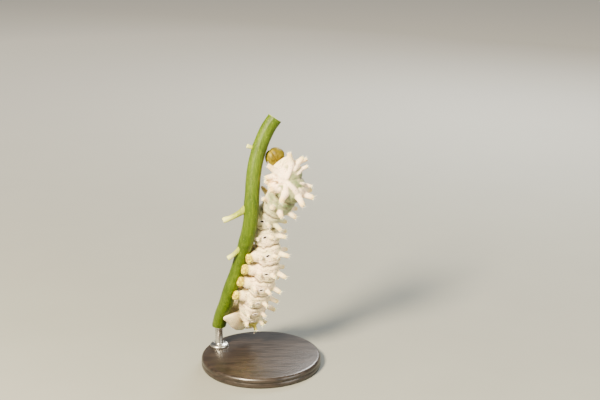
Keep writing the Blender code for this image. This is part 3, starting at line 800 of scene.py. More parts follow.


# Larval cuticle under white wax powder: soft, matt and a little see-through, pinkish cream with brown
# specks, straw-coloured cone ends and a blue-green blood tint. Painted shade lays grey-green behind the
# star, dark green in its valleys and dark brown in the folds and creases; painted light makes its raised
# plates and the side facing the key lamp paler. The powder's grain is drawn coarser than it is, or it
# wouldn't show.
def cuticleMaterial():
    made, tree, shader, place = startMaterial("waxPowderedCuticle", {
        "Roughness": 0.6, "IOR": 1.42, "Subsurface Weight": 0.18, "Subsurface Radius": (1.0, 0.62, 0.42),
        "Subsurface Scale": 0.9 * mm, "Sheen Weight": 0.12, "Sheen Roughness": 0.5,
        "Specular IOR Level": 0.3})
    patterns = {}
    for name, size, detail, rough in (
            ("broad", 3.2, 2.0, 0.55), ("fine", 0.5, 4.0, 0.65), ("veil", 5.0, 1.0, 0.55),
            ("breaks", 1.1, 3.0, 0.6), ("specks", 0.34, 1.0, 0.4), ("grain", 0.22, 3.0, 0.7)):
        patterns[name] = addNode(tree, "TexNoise", {
            "Vector": place, "Scale": 1 / size, "Detail": detail, "Roughness": rough})
    colour = layPatches(tree, "#FFE2BC", (
        (patterns["broad"], 0.38, 0.62, 1.0, "#FAE7B2"), (patterns["fine"], 0.35, 0.75, 0.35, "#FCEFD0"),
        (patterns["veil"], 0.45, 0.66, 0.28, "#B6BE92")))
    # Painted shade and light on the cream: grey-green painted shade behind the star with the blood tint, dark
    # green painted shade in the star's valleys, paler painted light on its raised plates, darker painted
    # shade in the folds.
    colour = layTones(tree, colour, (
        ("bloodTintAndShadeTone", 0.6, "#A6B284"), ("valleyShadeTone", 0.95, "#456A38"), ("plateLightTone", 0.8, "#FFE6C8"),
        ("foldShadeTone", 0.55, "#84765C")))
    breaks = addNode(tree, "MapRange", {"Value": patterns["breaks"], "From Min": 0.40, "From Max": 0.56})
    lines = 0.0
    for wave, halfWidth, faintest, strongest in (  # dark painted shade lines where a wave passes 0: folds, ring lines, wrinkles
            ("foldWave", 0.14, 0.55, 1.0), ("annuletWave", 0.14, 0.0, 0.7), ("squiggle", 0.065, 0.0, 0.6)):
        size = addNode(tree, "Attribute", {}, "Fac", attribute_name=wave)
        size = addNode(tree, "Math", {0: size}, operation="ABSOLUTE")
        line = addNode(tree, "MapRange", {"Value": size, "From Max": halfWidth, "To Min": 1.0, "To Max": 0.0})
        fading = addNode(tree, "MapRange", {"Value": breaks, "To Min": faintest, "To Max": strongest})
        line = addNode(tree, "Math", {0: line, 1: fading}, operation="MULTIPLY")
        lines = addNode(tree, "Math", {0: lines, 1: line}, operation="MAXIMUM")
    openFlesh = addNode(tree, "Attribute", {}, "Fac", attribute_name="openFlesh")
    lines = addNode(tree, "Math", {0: lines, 1: openFlesh}, operation="MULTIPLY")
    golden = layTones(tree, "#A48E00", (("lumpTone", 1.0, "#E8DE30"),))
    patch = layPatches(tree, "#A9AE30", ((patterns["broad"], 0.40, 0.60, 1.0, "#C9BC48"),))
    # Dark brown painted shade along the crease lines; then straw cone ends, golden soles and greenish
    # patches.
    colour = layTones(tree, colour, (
        (lines, 0.9, "#453428"), ("tipTone", 0.85, "#E2C670"), ("footTone", 1.0, golden),
        ("patchTone", 0.9, patch)))
    colour = layPatches(tree, colour, ((patterns["specks"], 0.64, 0.70, 0.75, "#3A2A22"),))
    grain = patterns["grain"]
    for height, strength in ((patterns["fine"], 1.2), (lines, -1.5)):
        grain = addNode(tree, "Math", {0: height, 1: strength, 2: grain}, operation="MULTIPLY_ADD")
    rough = addNode(tree, "MapRange", {
        "Value": patterns["fine"], "From Min": 0.3, "From Max": 0.7, "To Min": 0.52, "To Max": 0.72})
    finish(tree, shader, colour, grain, 0.11, rough)
    return made


cones = tubercleList()
larvaSkin = makeSkin(cones)
dress(larvaSkin, cuticleMaterial(), nodesNamed("thorax_", "abdomen_", "anal_", "proleg_"))
print("skin", len(larvaSkin.data.polygons), "faces")


# Head

head = {
    "place": -0.05,  # along the body
    "nod": 40.0,  # lean of the face towards the belly
    # a little fuller than the solid one, mm
    "width": 7.5,
    "height": 7.2,
    "depth": 6.3,
    "jawNarrowing": 0.22,
    # the rest in head radii: the broad dip between the two lobes and its half width, then the furrows
    "groove": (0.07, 0.18),
    "suture": 0.045,
    "sutureWidth": 0.028,
    "fronsTop": 0.08,
    "fronsFoot": -0.62,
    "fronsWidth": 0.42,
    "fronsSink": 0.012,
    "lipWidth": 0.03,
    "cheek": (0.035, 0.62, -0.35),  # height, and its place to the side and up
    "cheekSpread": (0.22, 0.28),
    "pits": (0.004, 14),  # height, and number in a head radius
    "eyeRadius": 0.24,  # mm
    "eyeSunk": 0.35,  # in eye radii
    "eyeSwings": (-6, -9.5),  # below the middle for the first one, and a step further for each
    "eyeTurns": (50, 57, 57, 57, 50, 42),  # from the face to the side, in degrees, for each eye of a side
}


def headAxes():  # centre, then its left, face and crown directions
    centre, forward, back, left, radius = bodyFrames(head["place"])
    nod = math.radians(head["nod"])
    face = forward * math.cos(nod) - back * math.sin(nod)
    crown = back * math.cos(nod) + forward * math.sin(nod)
    return centre, left, face, crown


def onHead(x, y, z):  # a point in mm from the head's middle, to metres in the frame
    centre, left, face, crown = headAxes()
    return centre + (left * x + face * y + crown * z) * mm


def makeHeadShell():
    bpy.ops.mesh.primitive_uv_sphere_add(segments=120, ring_count=80, radius=1)
    shell = bpy.context.object
    shell.name = "headShell"
    x, y, z = cornersOf(shell).T
    side = np.abs(x)
    front = rise(y, -0.1, 0.25)
    top, foot, thin = head["fronsTop"], head["fronsFoot"], head["sutureWidth"]
    dip, dipWidth = head["groove"]
    groove = dip * ridge(x, 0, dipWidth) * rise(z, -0.2, 0.6)
    aboveFrons = np.maximum(rise(z, top - 0.05, top + 0.05), 1 - front) * rise(z, -0.25, 0.15)
    crease = ridge(x, 0, thin) * aboveFrons
    width = head["fronsWidth"] * np.clip((top - z) / (top - foot), 0, 1)
    onFrons = (z < top + 0.04) * rise(z, foot - 0.08, foot) * front
    crease = np.maximum(crease, ridge(side, width, thin) * onFrons)
    crease = np.maximum(crease, ridge(z, foot, head["lipWidth"]) * rise(side, 0.46, 0.40) * front)
    plate = rise(width - side, 0, 0.06) * onFrons
    full, aside, up = head["cheek"]
    cheek = ridge(side, aside, head["cheekSpread"][0]) * ridge(z, up, head["cheekSpread"][1])
    cheek *= rise(y, 0.1, 0.5)
    pitDepth, pitNumber = head["pits"]
    swell = 1 - groove - head["suture"] * crease - head["fronsSink"] * plate + full * cheek
    swell = swell + noiseOver(np.column_stack((x, y, z)) * pitNumber) * pitDepth
    jaw = 1 - head["jawNarrowing"] * np.maximum(0, -z - 0.1)
    sizes = (x * head["width"] * jaw, y * head["depth"], z * head["height"])
    setCorners(shell, onHead(*((size / 2 * swell)[:, None] for size in sizes)))
    paint(shell, "creaseTone", crease)
    paint(shell, "cheekTone", cheek)
    closeMesh(shell)
    return shell


# Mouthparts: sides that each is on, its middle line in mm from the head's middle (left, face, crown), the
# way that its width lies, its profile, and its sides and steps.
mouthForms = (
    ((1,), ((-1.15, 2.1, -2.2), (0, 2.75, -2.4), (1.15, 2.1, -2.2)), "crown", (  # upper lip, notched
        (0, 0.2, 0.08), (0.12, 0.55, 0.2), (0.42, 0.72, 0.24), (0.5, 0.54, 0.2), (0.58, 0.72, 0.24),
        (0.88, 0.55, 0.2), (1, 0.2, 0.08)), 24, 40),
    ((1,), ((0, 1.3, -2.6), (0, 1.75, -3.1), (0, 2.1, -3.3)), "left", (  # silk spout
        (0, 0.75, 0.6), (0.45, 0.5, 0.4), (0.6, 0.24, 0.2), (1, 0.1, 0.1)), 20, 24),
    ((1, -1), ((1.7, 1.7, -1.8), (1.95, 2.05, -2.2)), "face", (  # feeler, in three joints
        (0, 0.44, 0.44), (0.6, 0.4, 0.4), (0.95, 0.34, 0.34), (1, 0.2, 0.2)), 20, 24),
    ((1, -1), ((1.88, 1.95, -2.1), (2.15, 2.3, -2.6)), "face", (
        (0, 0.26, 0.26), (0.5, 0.25, 0.25), (0.85, 0.27, 0.27), (1, 0.12, 0.12)), 16, 16),
    ((1, -1), ((2.12, 2.26, -2.55), (2.25, 2.45, -2.8)), "face", (
        (0, 0.13, 0.13), (0.8, 0.11, 0.11), (1, 0.03, 0.03)), 12, 10),
    ((1, -1), ((1.15, 1.0, -2.5), (1.1, 1.6, -3.0), (0.8, 2.05, -3.2)), "left", (  # lower jaw with its palp
        (0, 0.6, 0.5), (0.4, 0.48, 0.42), (0.55, 0.3, 0.28), (0.78, 0.26, 0.24), (0.84, 0.14, 0.14),
        (1, 0.08, 0.08)), 20, 24),
)
jawForms = (
    ((1, -1), ((1.55, 1.4, -2.45), (1.15, 2.15, -2.9), (0.12, 2.4, -3.2)), "crown", (
        (0, 0.62, 0.4), (0.35, 0.64, 0.36), (0.7, 0.56, 0.24), (0.92, 0.48, 0.12), (1, 0.3, 0.04)), 24, 24),
)


def makeMouthparts(name, forms):
    centre, left, face, crown = headAxes()
    ways = {"left": left, "face": face, "crown": crown}
    pieces = []
    for sides, line, way, profile, around, steps in forms:
        for side in sides:
            path = np.array([onHead(side * x, y, z) for x, y, z in line])
            pieces.append(limb(name, path, ways[way], profile, around, steps))
    return joinAll(name, pieces)


def makeEyes():  # an arc of small glassy beads low on each cheek
    bpy.ops.mesh.primitive_uv_sphere_add(segments=20, ring_count=12, radius=head["eyeRadius"] * mm)
    bead = bpy.context.object
    first, further = head["eyeSwings"]
    placements = []
    for side in (1, -1):
        for step, degrees in enumerate(head["eyeTurns"]):
            swing = math.radians(first + further * step)
            turn = math.radians(degrees)
            spot, normal = seatOn(headShell, onHead(
                side * math.cos(swing) * math.sin(turn) * head["width"] / 2,
                math.cos(swing) * math.cos(turn) * head["depth"] / 2, math.sin(swing) * head["height"] / 2))
            placements.append((spot - normal * head["eyeRadius"] * head["eyeSunk"] * mm, np.eye(3)))
    return copies("stemmata", bead, placements)


# Larval head shell: hard, thin chitin, ochre and faintly mottled, with the gloss of a fingernail.
def chitinMaterial(name, base, dark, light, roughness):
    made, tree, shader, place = startMaterial(name, {
        "Roughness": roughness, "IOR": 1.45, "Specular IOR Level": 0.22,
        "Subsurface Weight": 0.05, "Subsurface Radius": (1.0, 0.6, 0.1), "Subsurface Scale": 0.3 * mm})
    mottle, broad, grain = (addNode(tree, "TexNoise", {
        "Vector": place, "Scale": 1 / size, "Detail": detail, "Roughness": rough, "Distortion": warp})
        for size, detail, rough, warp in ((0.8, 4.0, 0.6, 0.6), (2.6, 1.0, 0.55, 0.0), (0.16, 3.0, 0.7, 0.0)))
    colour = layPatches(tree, dark, ((mottle, 0.35, 0.62, 1.0, base), (broad, 0.45, 0.65, 1.0, light)))
    colour = layTones(tree, colour, (("creaseTone", 0.75, "#4E320A"), ("cheekTone", 0.3, "#6E4A10")))
    finish(tree, shader, colour, grain, 0.012)
    return made


headShell = makeHeadShell()
dress(headShell, chitinMaterial("headChitin", "#5C5200", "#423A00", "#786E00", 0.5), ["head"])
dress(makeMouthparts("headMouthparts", mouthForms),
      chitinMaterial("mouthChitin", "#B8923A", "#85621C", "#D2B562", 0.38))
dress(makeMouthparts("mandibles", jawForms),
      chitinMaterial("jawChitin", "#5A3414", "#2C170A", "#7A4A1E", 0.25))
dress(makeEyes(), chitinMaterial("eyeBeads", "#20140C", "#0C0806", "#2A1C12", 0.08))
print("head")


# True legs

trueLegs = {
    "rings": (1, 2, 3),
    "place": 0.05,  # behind the middle of the ring
    "root": (154.0, 0.70),  # angle from the middle of the back, and share of the body's radius
    "sweep": (1.0, 0.1, -0.3),  # how far each pair reaches forward
    # each joint from the one before, in mm: down, out and forward
    "joints": ((2.1, 0.7, 0.3), (1.5, 0.3, 0.6), (1.1, -0.3, 1.0), (0.5, -0.7, 0.8)),
    # share along the leg and half widths in mm: three joints, each wider at its end
    "profile": (
        (0.0, 1.25, 1.25), (0.16, 1.22, 1.2), (0.30, 1.08, 1.05), (0.335, 0.86, 0.85), (0.37, 0.92, 0.9),
        (0.50, 0.88, 0.86), (0.60, 0.80, 0.78), (0.635, 0.62, 0.62), (0.67, 0.66, 0.66),
        (0.80, 0.58, 0.56), (0.86, 0.42, 0.42), (0.89, 0.46, 0.44), (0.97, 0.36, 0.34), (1.0, 0.16, 0.16),
    ),
    "clawLine": ((-0.25, 0.0), (0.2, 0.0), (0.32, -0.5)),  # from the leg's tip: down and out
    "clawProfile": ((0, 0.2, 0.2), (0.4, 0.17, 0.15), (0.8, 0.08, 0.07), (1, 0.02, 0.02)),
}


def makeLegs():
    legs = []
    claws = []
    angle, share = trueLegs["root"]
    for index, reach in zip(trueLegs["rings"], trueLegs["sweep"]):
        centre, forward, back, left, radius = bodyFrames(index + trueLegs["place"])
        down = -back
        for side in (1, -1):
            out = left * side
            points = [centre + outwardAt(back, left, angle * side) * radius * share]
            for lower, outer, further in trueLegs["joints"]:
                points.append(points[-1] + (down * lower + out * outer + forward * reach * further) * mm)
            legs.append(limb("leg", np.array(points), forward, trueLegs["profile"], 28, 64))
            hook = [points[-1] + (down * lower + out * outer) * mm for lower, outer in trueLegs["clawLine"]]
            claws.append(limb("claw", np.array(hook), forward, trueLegs["clawProfile"], 12, 14))
    return joinAll("trueLegs", legs), joinAll("legClaws", claws)


legs, claws = makeLegs()
dress(legs, chitinMaterial("legChitin", "#DCC880", "#BC9E56", "#E8D8A0", 0.42),
      nodesNamed("leg_"))
dress(claws, chitinMaterial("clawChitin", "#5A3414", "#2C170A", "#7A4A1E", 0.22))
print("legs")


# Breathing holes

spiracles = {
    "rings": (1, 4, 5, 6, 7, 8, 9, 10, 11),
    "seat": (-0.04, 92.0),  # place along a ring and angle from the middle of the back
    "frontSeat": (0.18, 114.0),
    "halfLength": 0.82,
    "halfWidth": 0.40,
    "slant": 24.0,
    "rimGrowth": (1.12, 1.25),  # the rim's length and width, in those of the slit
    "rimHeight": 0.55,
    "rimThickness": 0.17,
    "rimLift": 0.01,
    "slitLift": 0.02,
    "slitHeight": 0.09,
    "pointedness": 0.35,
}


def spiracleSeats():  # spot on the skin, then the hole's long, short and outward directions
    seats = []
    for index in spiracles["rings"]:
        along, angle = spiracles["frontSeat" if index == 1 else "seat"]
        centre, forward, back, left, radius = bodyFrames(index + along)
        for side in (1, -1):
            outward = outwardAt(back, left, angle * side)
            reach = radius * sectionShape(np.array(math.radians(angle * side)))
            spot, normal = seatOn(larvaSkin, centre + outward * reach)
            outward = unit(outward + normal)
            tall = unit(np.cross(outward, forward)) * side
            slant = math.radians(spiracles["slant"])
            tall = unit(tall * math.cos(slant) - forward * math.sin(slant))
            tall = unit(tall - outward * tall.dot(outward))
            seats.append((spot, tall, np.cross(outward, tall), outward))
    return seats


def makeSpiracles():
    long, wide = spiracles["halfLength"] * mm, spiracles["halfWidth"] * mm
    longer, wider = spiracles["rimGrowth"]
    seats = spiracleSeats()
    bpy.ops.mesh.primitive_torus_add(
        major_segments=40, minor_segments=12, major_radius=1, minor_radius=spiracles["rimThickness"])
    rims = copies("spiracleRims", bpy.context.object, [
        (spot + out * spiracles["rimLift"] * mm,
         (tall * long * longer, across * wide * wider, out * spiracles["rimHeight"] * mm))
        for spot, tall, across, out in seats])
    bpy.ops.mesh.primitive_uv_sphere_add(segments=32, ring_count=16, radius=1)
    lens = bpy.context.object
    points = cornersOf(lens)
    points[:, 1] *= 1 - spiracles["pointedness"] * points[:, 0] ** 2  # pointed at both ends, as an almond
    setCorners(lens, points)
    slits = copies("spiracleSlits", lens, [
        (spot + out * spiracles["slitLift"] * mm,
         (tall * long, across * wide, out * spiracles["slitHeight"] * mm))
        for spot, tall, across, out in seats])
    return rims, slits


# Thorns, hairs and hooks

spinules = {
    "aroundTip": 9,
    "length": 0.52,
    "radius": 0.14,
    "sizes": (0.8, 1.2),  # smallest and largest, in the length above
    "unevenTurn": 0.3,  # radians to either side
    "height": (1.05, 0.18),  # in lengths of the cone, and how much lower every second one may stand
    "upright": 0.8,
    "spread": 0.75,
    "ringReach": 0.9,
    "sunk": 0.06,
    "hairLength": 0.95,
    "hairRadius": 0.028,
    "hairStart": 0.7,  # share of the thorn's length
    "hairTousle": 0.15,
}

hairs = {
    "perFoot": 16,
    "footShares": (0.35, 0.9),
    "footLengths": (0.5, 0.9),
    "footRadius": 0.024,
    "onFlanks": 220,
    "flankPlaces": (0.7, 12.6),
    "flankAngles": (100, 150),
    "flankLengths": (0.4, 0.8),
    "flankRadius": 0.022,
    "tousle": 0.3,
}

hooks = {
    "count": 13,
    "rowReach": 1.35,
    "rowBow": 0.35,
    "inset": 0.5,
    "pointing": (0.8, 0.6),  # towards the stalk, and down the leg
    "length": 0.36,
    "radius": 0.07,
    "sunk": 0.05,
}


def pointedForm(sides):  # a cone of unit height and radius, with a blunt tip
    bpy.ops.mesh.primitive_cone_add(
        vertices=sides, radius1=1, radius2=0.12, depth=1, location=(0, 0, 0.5), end_fill_type="NGON")
    bpy.ops.object.transform_apply(location=True)
    return bpy.context.object


def crossAxes(direction, length, radius):
    anyWay = (0.3, 0.5, 0.81)
    aside = unit(np.cross(direction, anyWay))
    return aside * radius * mm, np.cross(direction, aside) * radius * mm, direction * length * mm


def coneThorns():  # a ring of thorns round each cone's tip and one on it, every second with a hair
    thorns = []
    tipHairs = []
    count = spinules["aroundTip"]
    uneven = spinules["unevenTurn"]
    highest, lower = spinules["height"]
    for root, along, forward, length, stoutness in cones:
        aside = unit(forward - along * forward.dot(along))
        other = np.cross(along, aside)
        for n in range(count + 1):
            turn = 2 * math.pi * n / count + chance.uniform(-uneven, uneven)
            spread = spinules["spread"] if n < count else 0.0
            sideways = aside * math.cos(turn) + other * math.sin(turn)
            start = root + along * length * (highest - lower * (n % 2) * spread)
            spot, normal = seatOn(larvaSkin, start + sideways * spread * spinules["ringReach"] * mm)
            direction = unit(along * spinules["upright"] + sideways * spread)
            size = chance.uniform(*spinules["sizes"])
            thorns.append((spot - direction * spinules["sunk"] * mm,
                           crossAxes(direction, spinules["length"] * size, spinules["radius"])))
            if n % 2 == 0:
                lean = unit(direction + chance.normal(0, spinules["hairTousle"], 3))
                tip = spot + direction * spinules["length"] * spinules["hairStart"] * mm
                tipHairs.append((tip, crossAxes(lean, spinules["hairLength"] * size, spinules["hairRadius"])))
    return thorns, tipHairs


def skinHair(start, lengths, radius):
    spot, normal = seatOn(larvaSkin, start)
    lean = unit(normal + chance.normal(0, hairs["tousle"], 3))
    return spot, crossAxes(lean, chance.uniform(*lengths), radius)


def makeSpinules():
    thorns, placed = coneThorns()
    for root, foot, forward in falseLegPaths():
        other = np.cross(unit(foot - root), forward)
        for n in range(hairs["perFoot"]):
            start = root + (foot - root) * chance.uniform(*hairs["footShares"])
            turn = chance.uniform(0, 2 * math.pi)
            start = start + (forward * math.cos(turn) + other * math.sin(turn)) * 2 * mm
            placed.append(skinHair(start, hairs["footLengths"], hairs["footRadius"]))
    for n in range(hairs["onFlanks"]):
        place = chance.uniform(*hairs["flankPlaces"])
        angle = math.radians(chance.uniform(*hairs["flankAngles"])) * (1 if n % 2 else -1)
        start = onBody(np.array(place), np.array(angle))
        placed.append(skinHair(start, hairs["flankLengths"], hairs["flankRadius"]))
    return copies("tubercleSpinules", pointedForm(6), thorns), copies("larvaHairs", pointedForm(3), placed)


def makeHooks():  # a row of brown hooks along the inner edge of each false leg's foot
    placed = []
    middleHook = (hooks["count"] - 1) / 2
    towards, down = hooks["pointing"]
    for root, foot, forward in falseLegPaths():
        direction = unit(foot - root)
        middle, along, side, depth = stalkFrames(nearestOnStalk(foot))
        inward = unit(middle - foot - along * (middle - foot).dot(along))
        pointing = unit(inward * towards + direction * down)
        for n in range(hooks["count"]):
            sweep = (n - middleHook) / middleHook
            offset = forward * sweep * hooks["rowReach"] + direction * hooks["rowBow"] * (1 - sweep * sweep)
            spot, normal = seatOn(larvaSkin, foot + (offset + inward * hooks["inset"]) * mm)
            placed.append((spot - pointing * hooks["sunk"] * mm,
                           crossAxes(pointing, hooks["length"], hooks["radius"])))
    return copies("prolegHooks", pointedForm(5), placed)


def plainMaterial(name, colours, size, sockets, depth):  # two near colours in lumps of a size in mm
    made, tree, shader, place = startMaterial(name, sockets)
    lumps, grain = (addNode(tree, "TexNoise", {
        "Vector": place, "Scale": scale, "Detail": 3.0, "Roughness": 0.55}) for scale in (1 / size, 3 / size))
    colour = layPatches(tree, colours[0], ((lumps, 0.35, 0.65, 1.0, colours[1]),))
    finish(tree, shader, colour, grain, depth)
    return made


# The holes' rims are chalky, their sieve plates soft black; spines and hairs are pale, clear chitin.
rims, slits = makeSpiracles()
thornPiece, hairPiece = makeSpinules()
dress(rims, plainMaterial("spiracleRimCuticle", ("#F4ECE2", "#E2D8CC"), 0.3, {"Roughness": 0.6}, 0.01))
dress(slits, plainMaterial("spiracleSieve", ("#060505", "#120E0C"), 0.1, {
    "Roughness": 0.7, "Specular IOR Level": 0.2}, 0.02))
dress(thornPiece, plainMaterial("spinuleChitin", ("#F2E6BC", "#FBF4DA"), 0.4, {
    "Roughness": 0.4, "Subsurface Weight": 0.3, "Subsurface Scale": 0.4 * mm}, 0.01))
dress(hairPiece, plainMaterial("hairChitin", ("#EFE9D6", "#FFFFFF"), 1.0, {"Roughness": 0.35}, 0.002))
dress(makeHooks(), chitinMaterial("hookChitin", "#6A4018", "#3A2210", "#8A5A24", 0.3))
print("holes, spinules, hairs and hooks")


# Leaf stalk

def stalkShape(share, angle):
    cap = stalk["capShare"]
    along = np.clip((share - cap) / (1 - 2 * cap), 0, 1) * stalkEnd
    inset = np.clip(np.minimum(share, 1 - share) / cap, 0, 1)
    centre, direction, side, depth = stalkFrames(along)
    ribs, ribHeight = stalk["ribs"]
    swell = 1 + ribHeight * np.cos(ribs * angle)
    for place, reach, radius, height, halfLength in stalk["veins"]:
        swell = swell + height * ridge(along, place, halfLength)
    uneven = noiseOver(np.column_stack((along * 2.0, np.cos(angle), np.sin(angle))))
    reach = stalk["radius"] * mm * inset * (swell + stalk["unevenness"] * uneven)
    points = centre + side * (np.cos(angle) * reach)[:, None] + depth * (np.sin(angle) * reach)[:, None]
    below = np.minimum(points[:, 2] - stalk["footHeight"] * mm, 0) * (along > stalkEnd - 1)
    return points - direction * (below / direction[:, 2])[:, None]


def makeStalk():
    stem = rolledTube("leafStalk", stalk["steps"], stalk["sides"], stalkShape)
    points = cornersOf(stem)
    top, direction, side, depth = stalkFrames(0.0)
    low, lowDirection, side, depth = stalkFrames(float(stalkEnd))
    onTop = np.abs(((points - top) * direction).sum(1)) < 0.05 * mm
    onFoot = points[:, 2] < (stalk["footHeight"] + 0.03) * mm
    fromTop = np.linalg.norm(points - top, axis=1)
    fromLow = np.linalg.norm(np.cross(points - low, lowDirection), axis=1)
    rim = np.where(onTop, fromTop, fromLow) / (stalk["radius"] * mm)
    paint(stem, "cutTone", (onTop | onFoot).astype(float))
    paint(stem, "rimTone", rise(rim, 0.55, 0.95))
    return stem


def makeVeins():
    pieces = []
    for place, reach, radius, height, halfLength in stalk["veins"]:
        centre, along, side, depth = stalkFrames(place)
        reach = np.array(reach) * mm
        droop = np.array((0, 0, -stalk["veinDroop"])) * np.linalg.norm(reach)
        path = []
        for share in stalk["veinShares"]:
            sag = share * (1 - share) * stalk["veinSag"]
            path.append(centre + reach * share + droop * (share * share + sag / stalk["veinDroop"]))
        rows = [(share, wide * radius, thick * radius) for share, wide, thick in stalk["veinProfile"]]
        vein = limb("vein", np.array(path), along, rows, 32, 60)
        full = reach + droop
        reached = dots(cornersOf(vein) - centre, unit(full))[:, 0] / np.linalg.norm(full)
        paint(vein, "cutTone", rise(reached, 0.55, 0.98))
        paint(vein, "rimTone", reached * 0)
        pieces.append(vein)
    return joinAll("cutVeins", pieces)


# Fresh leaf stalk: smooth, slightly waxy plant skin over a watery pith, with fine length-wise ribs.
def stalkMaterial(name, base, shade, light):
    made, tree, shader, place = startMaterial(name, {
        "Roughness": 0.5, "IOR": 1.4, "Subsurface Weight": 0.12, "Subsurface Radius": (0.6, 1.0, 0.2),
        "Subsurface Scale": 0.6 * mm, "Specular IOR Level": 0.28})
    drawnOut = addNode(tree, "Mapping", {"Vector": place, "Scale": (1.0, 1.0, 0.12)})
    broad, ribs, dust = (addNode(tree, "TexNoise", {
        "Vector": where, "Scale": 1 / size, "Detail": detail, "Roughness": rough})
        for where, size, detail, rough in (
            (place, 7.0, 1.0, 0.55), (drawnOut, 0.45, 3.0, 0.6), (place, 0.35, 2.0, 0.55)))
    colour = layPatches(tree, base, (
        (broad, 0.35, 0.65, 1.0, shade), (ribs, 0.45, 0.7, 0.6, light), (dust, 0.66, 0.74, 0.5, "#B9BF70")))
    pith = layTones(tree, "#CBCF7C", (("rimTone", 1.0, "#8A9A3A"),))
    colour = layTones(tree, colour, (("cutTone", 1.0, pith),))
    finish(tree, shader, colour, ribs, 0.06)
    return made


dress(makeStalk(), stalkMaterial("leafStalkSkin", "#3E5402", "#2D4202", "#5F720A"),
      ["perch_stem"])
dress(makeVeins(), stalkMaterial("cutVeinSkin", "#98A430", "#74821E", "#B8BE54"),
      nodesNamed("perch_stub_"))
print("stalk")


# Stand

stand = {
    "baseRadius": 23.0,
    "baseHeight": 4.0,
    "baseSides": 192,
    # inset from the base's radius and height, up the edge: foot, side, groove and the lip above it
    "edge": ((0.6, 0.0), (0.15, 0.2), (0.0, 0.6), (0.0, 1.7), (0.25, 1.95), (0.25, 2.15), (0.02, 2.35)),
    "shoulder": 1.25,  # radius of the rounded upper edge
    "shoulderReach": 1.23,
    "shoulderSteps": 6,
    "rodRadius": 1.5,
    "rodSides": 96,
    "flangeRadius": 3.6,
    "flangeHeight": 1.0,
    "flange": ((-0.1, 0.0), (0.0, 0.12), (0.0, 0.5), (-0.2, 0.8), (-0.6, 1.0)),
    "fillet": ((0.45, 0.05), (0.12, 0.3), (0.0, 0.6)),  # over the rod's radius, and above the flange
    "collar": ((0.0, 1.1), (0.2, 0.9), (0.3, 0.2), (0.2, 0.0)),  # and below the stalk's cut
    "screws": 3,
    "screwTurn": 0.5,
    "screwPlace": 2.75,
    "screw": ((0, -0.3), (0.42, -0.3), (0.46, -0.12), (0.4, 0.06), (0.2, 0.13), (0, 0.14)),
}


def makeBase():
    wide, high, shoulder = stand["baseRadius"], stand["baseHeight"], stand["shoulder"]
    profile = [(0, 0)] + [(wide - inset, height) for inset, height in stand["edge"]]
    for step in range(stand["shoulderSteps"] + 1):
        turn = math.radians(90 * step / stand["shoulderSteps"])
        profile.append((wide - shoulder + stand["shoulderReach"] * math.cos(turn),
                        high - shoulder + shoulder * math.sin(turn)))
    profile.append((0, high))
    return turned("standBase", profile, (0, 0), stand["baseSides"])


def makeRod():
    foot = stalk["route"][-1]
    low, top, deck = stand["baseHeight"], stalk["footHeight"], stand["baseHeight"] + stand["flangeHeight"]
    profile = [(0, low)] + [(stand["flangeRadius"] + out, low + up) for out, up in stand["flange"]]
    profile += [(stand["rodRadius"] + out, deck + up) for out, up in stand["fillet"]]
    profile += [(stand["rodRadius"] + out, top - down) for out, down in stand["collar"]] + [(0, top)]
    pieces = [turned("rod", profile, foot[:2], stand["rodSides"])]
    for n in range(stand["screws"]):
        turn = 2 * math.pi * n / stand["screws"] + stand["screwTurn"]
        aside = stand["screwPlace"]
        middle = (foot[0] + aside * math.cos(turn), foot[1] + aside * math.sin(turn))
        pieces.append(turned("screw", [(radius, deck + up) for radius, up in stand["screw"]], middle, 32))
    return joinAll("standRod", pieces)


# Turned beech, stained black and wiped with satin lacquer: pores and rings still show in the gloss.
def stainedWood():
    made, tree, shader, place = startMaterial("blackStainedBeech", {
        "Roughness": 0.36, "IOR": 1.5, "Coat Weight": 0.2, "Coat Roughness": 0.2})
    drawnOut = addNode(tree, "Mapping", {"Vector": place, "Scale": (0.10, 1.0, 1.0)})
    grain, pores = (addNode(tree, "TexNoise", {
        "Vector": drawnOut, "Scale": 1 / size, "Detail": detail, "Roughness": rough, "Distortion": warp})
        for size, detail, rough, warp in ((1.1, 4.0, 0.6, 0.4), (0.30, 2.0, 0.5, 0.0)))
    colour = layPatches(tree, "#17130F", (
        (grain, 0.35, 0.65, 1.0, "#2E2620"), (pores, 0.58, 0.70, 0.6, "#0B0908")))
    rough = addNode(tree, "MapRange", {
        "Value": grain, "From Min": 0.3, "From Max": 0.7, "To Min": 0.30, "To Max": 0.44})
    relief = addNode(tree, "Math", {0: grain, 1: pores}, operation="ADD")
    finish(tree, shader, colour, relief, 0.02, rough)
    return made


# Turned stainless steel: fine rings left by the tool, brighter on the edges. The rings are drawn wider
# than the tool's feed, or they wouldn't show.
def turnedSteel():
    made, tree, shader, place = startMaterial("turnedStainlessSteel", {"Metallic": 1.0, "Roughness": 0.28})
    flattened = addNode(tree, "Mapping", {"Vector": place, "Scale": (0.02, 0.02, 1.0)})
    rings = addNode(tree, "TexNoise", {
        "Vector": flattened, "Scale": 1 / 0.14, "Detail": 2.0, "Roughness": 0.55})
    colour = layPatches(tree, "#B9B8B4", ((rings, 0.4, 0.6, 1.0, "#D2D1CD"),))
    rough = addNode(tree, "MapRange", {
        "Value": rings, "From Min": 0.3, "From Max": 0.7, "To Min": 0.22, "To Max": 0.38})
    finish(tree, shader, colour, rings, 0.008, rough)
    return made


dress(makeBase(), stainedWood(), ["stand_base"])
dress(makeRod(), turnedSteel(), ["stand_rod"])
print("stand")


# Camera, light and floor

camera = {
    "target": (15.0, 3.0, 65.5),  # middle of the picture, mm
    "elevation": 18.0,
    "distance": 531.0,
    "lens": 85.0,
    "sensor": 36.0,
}

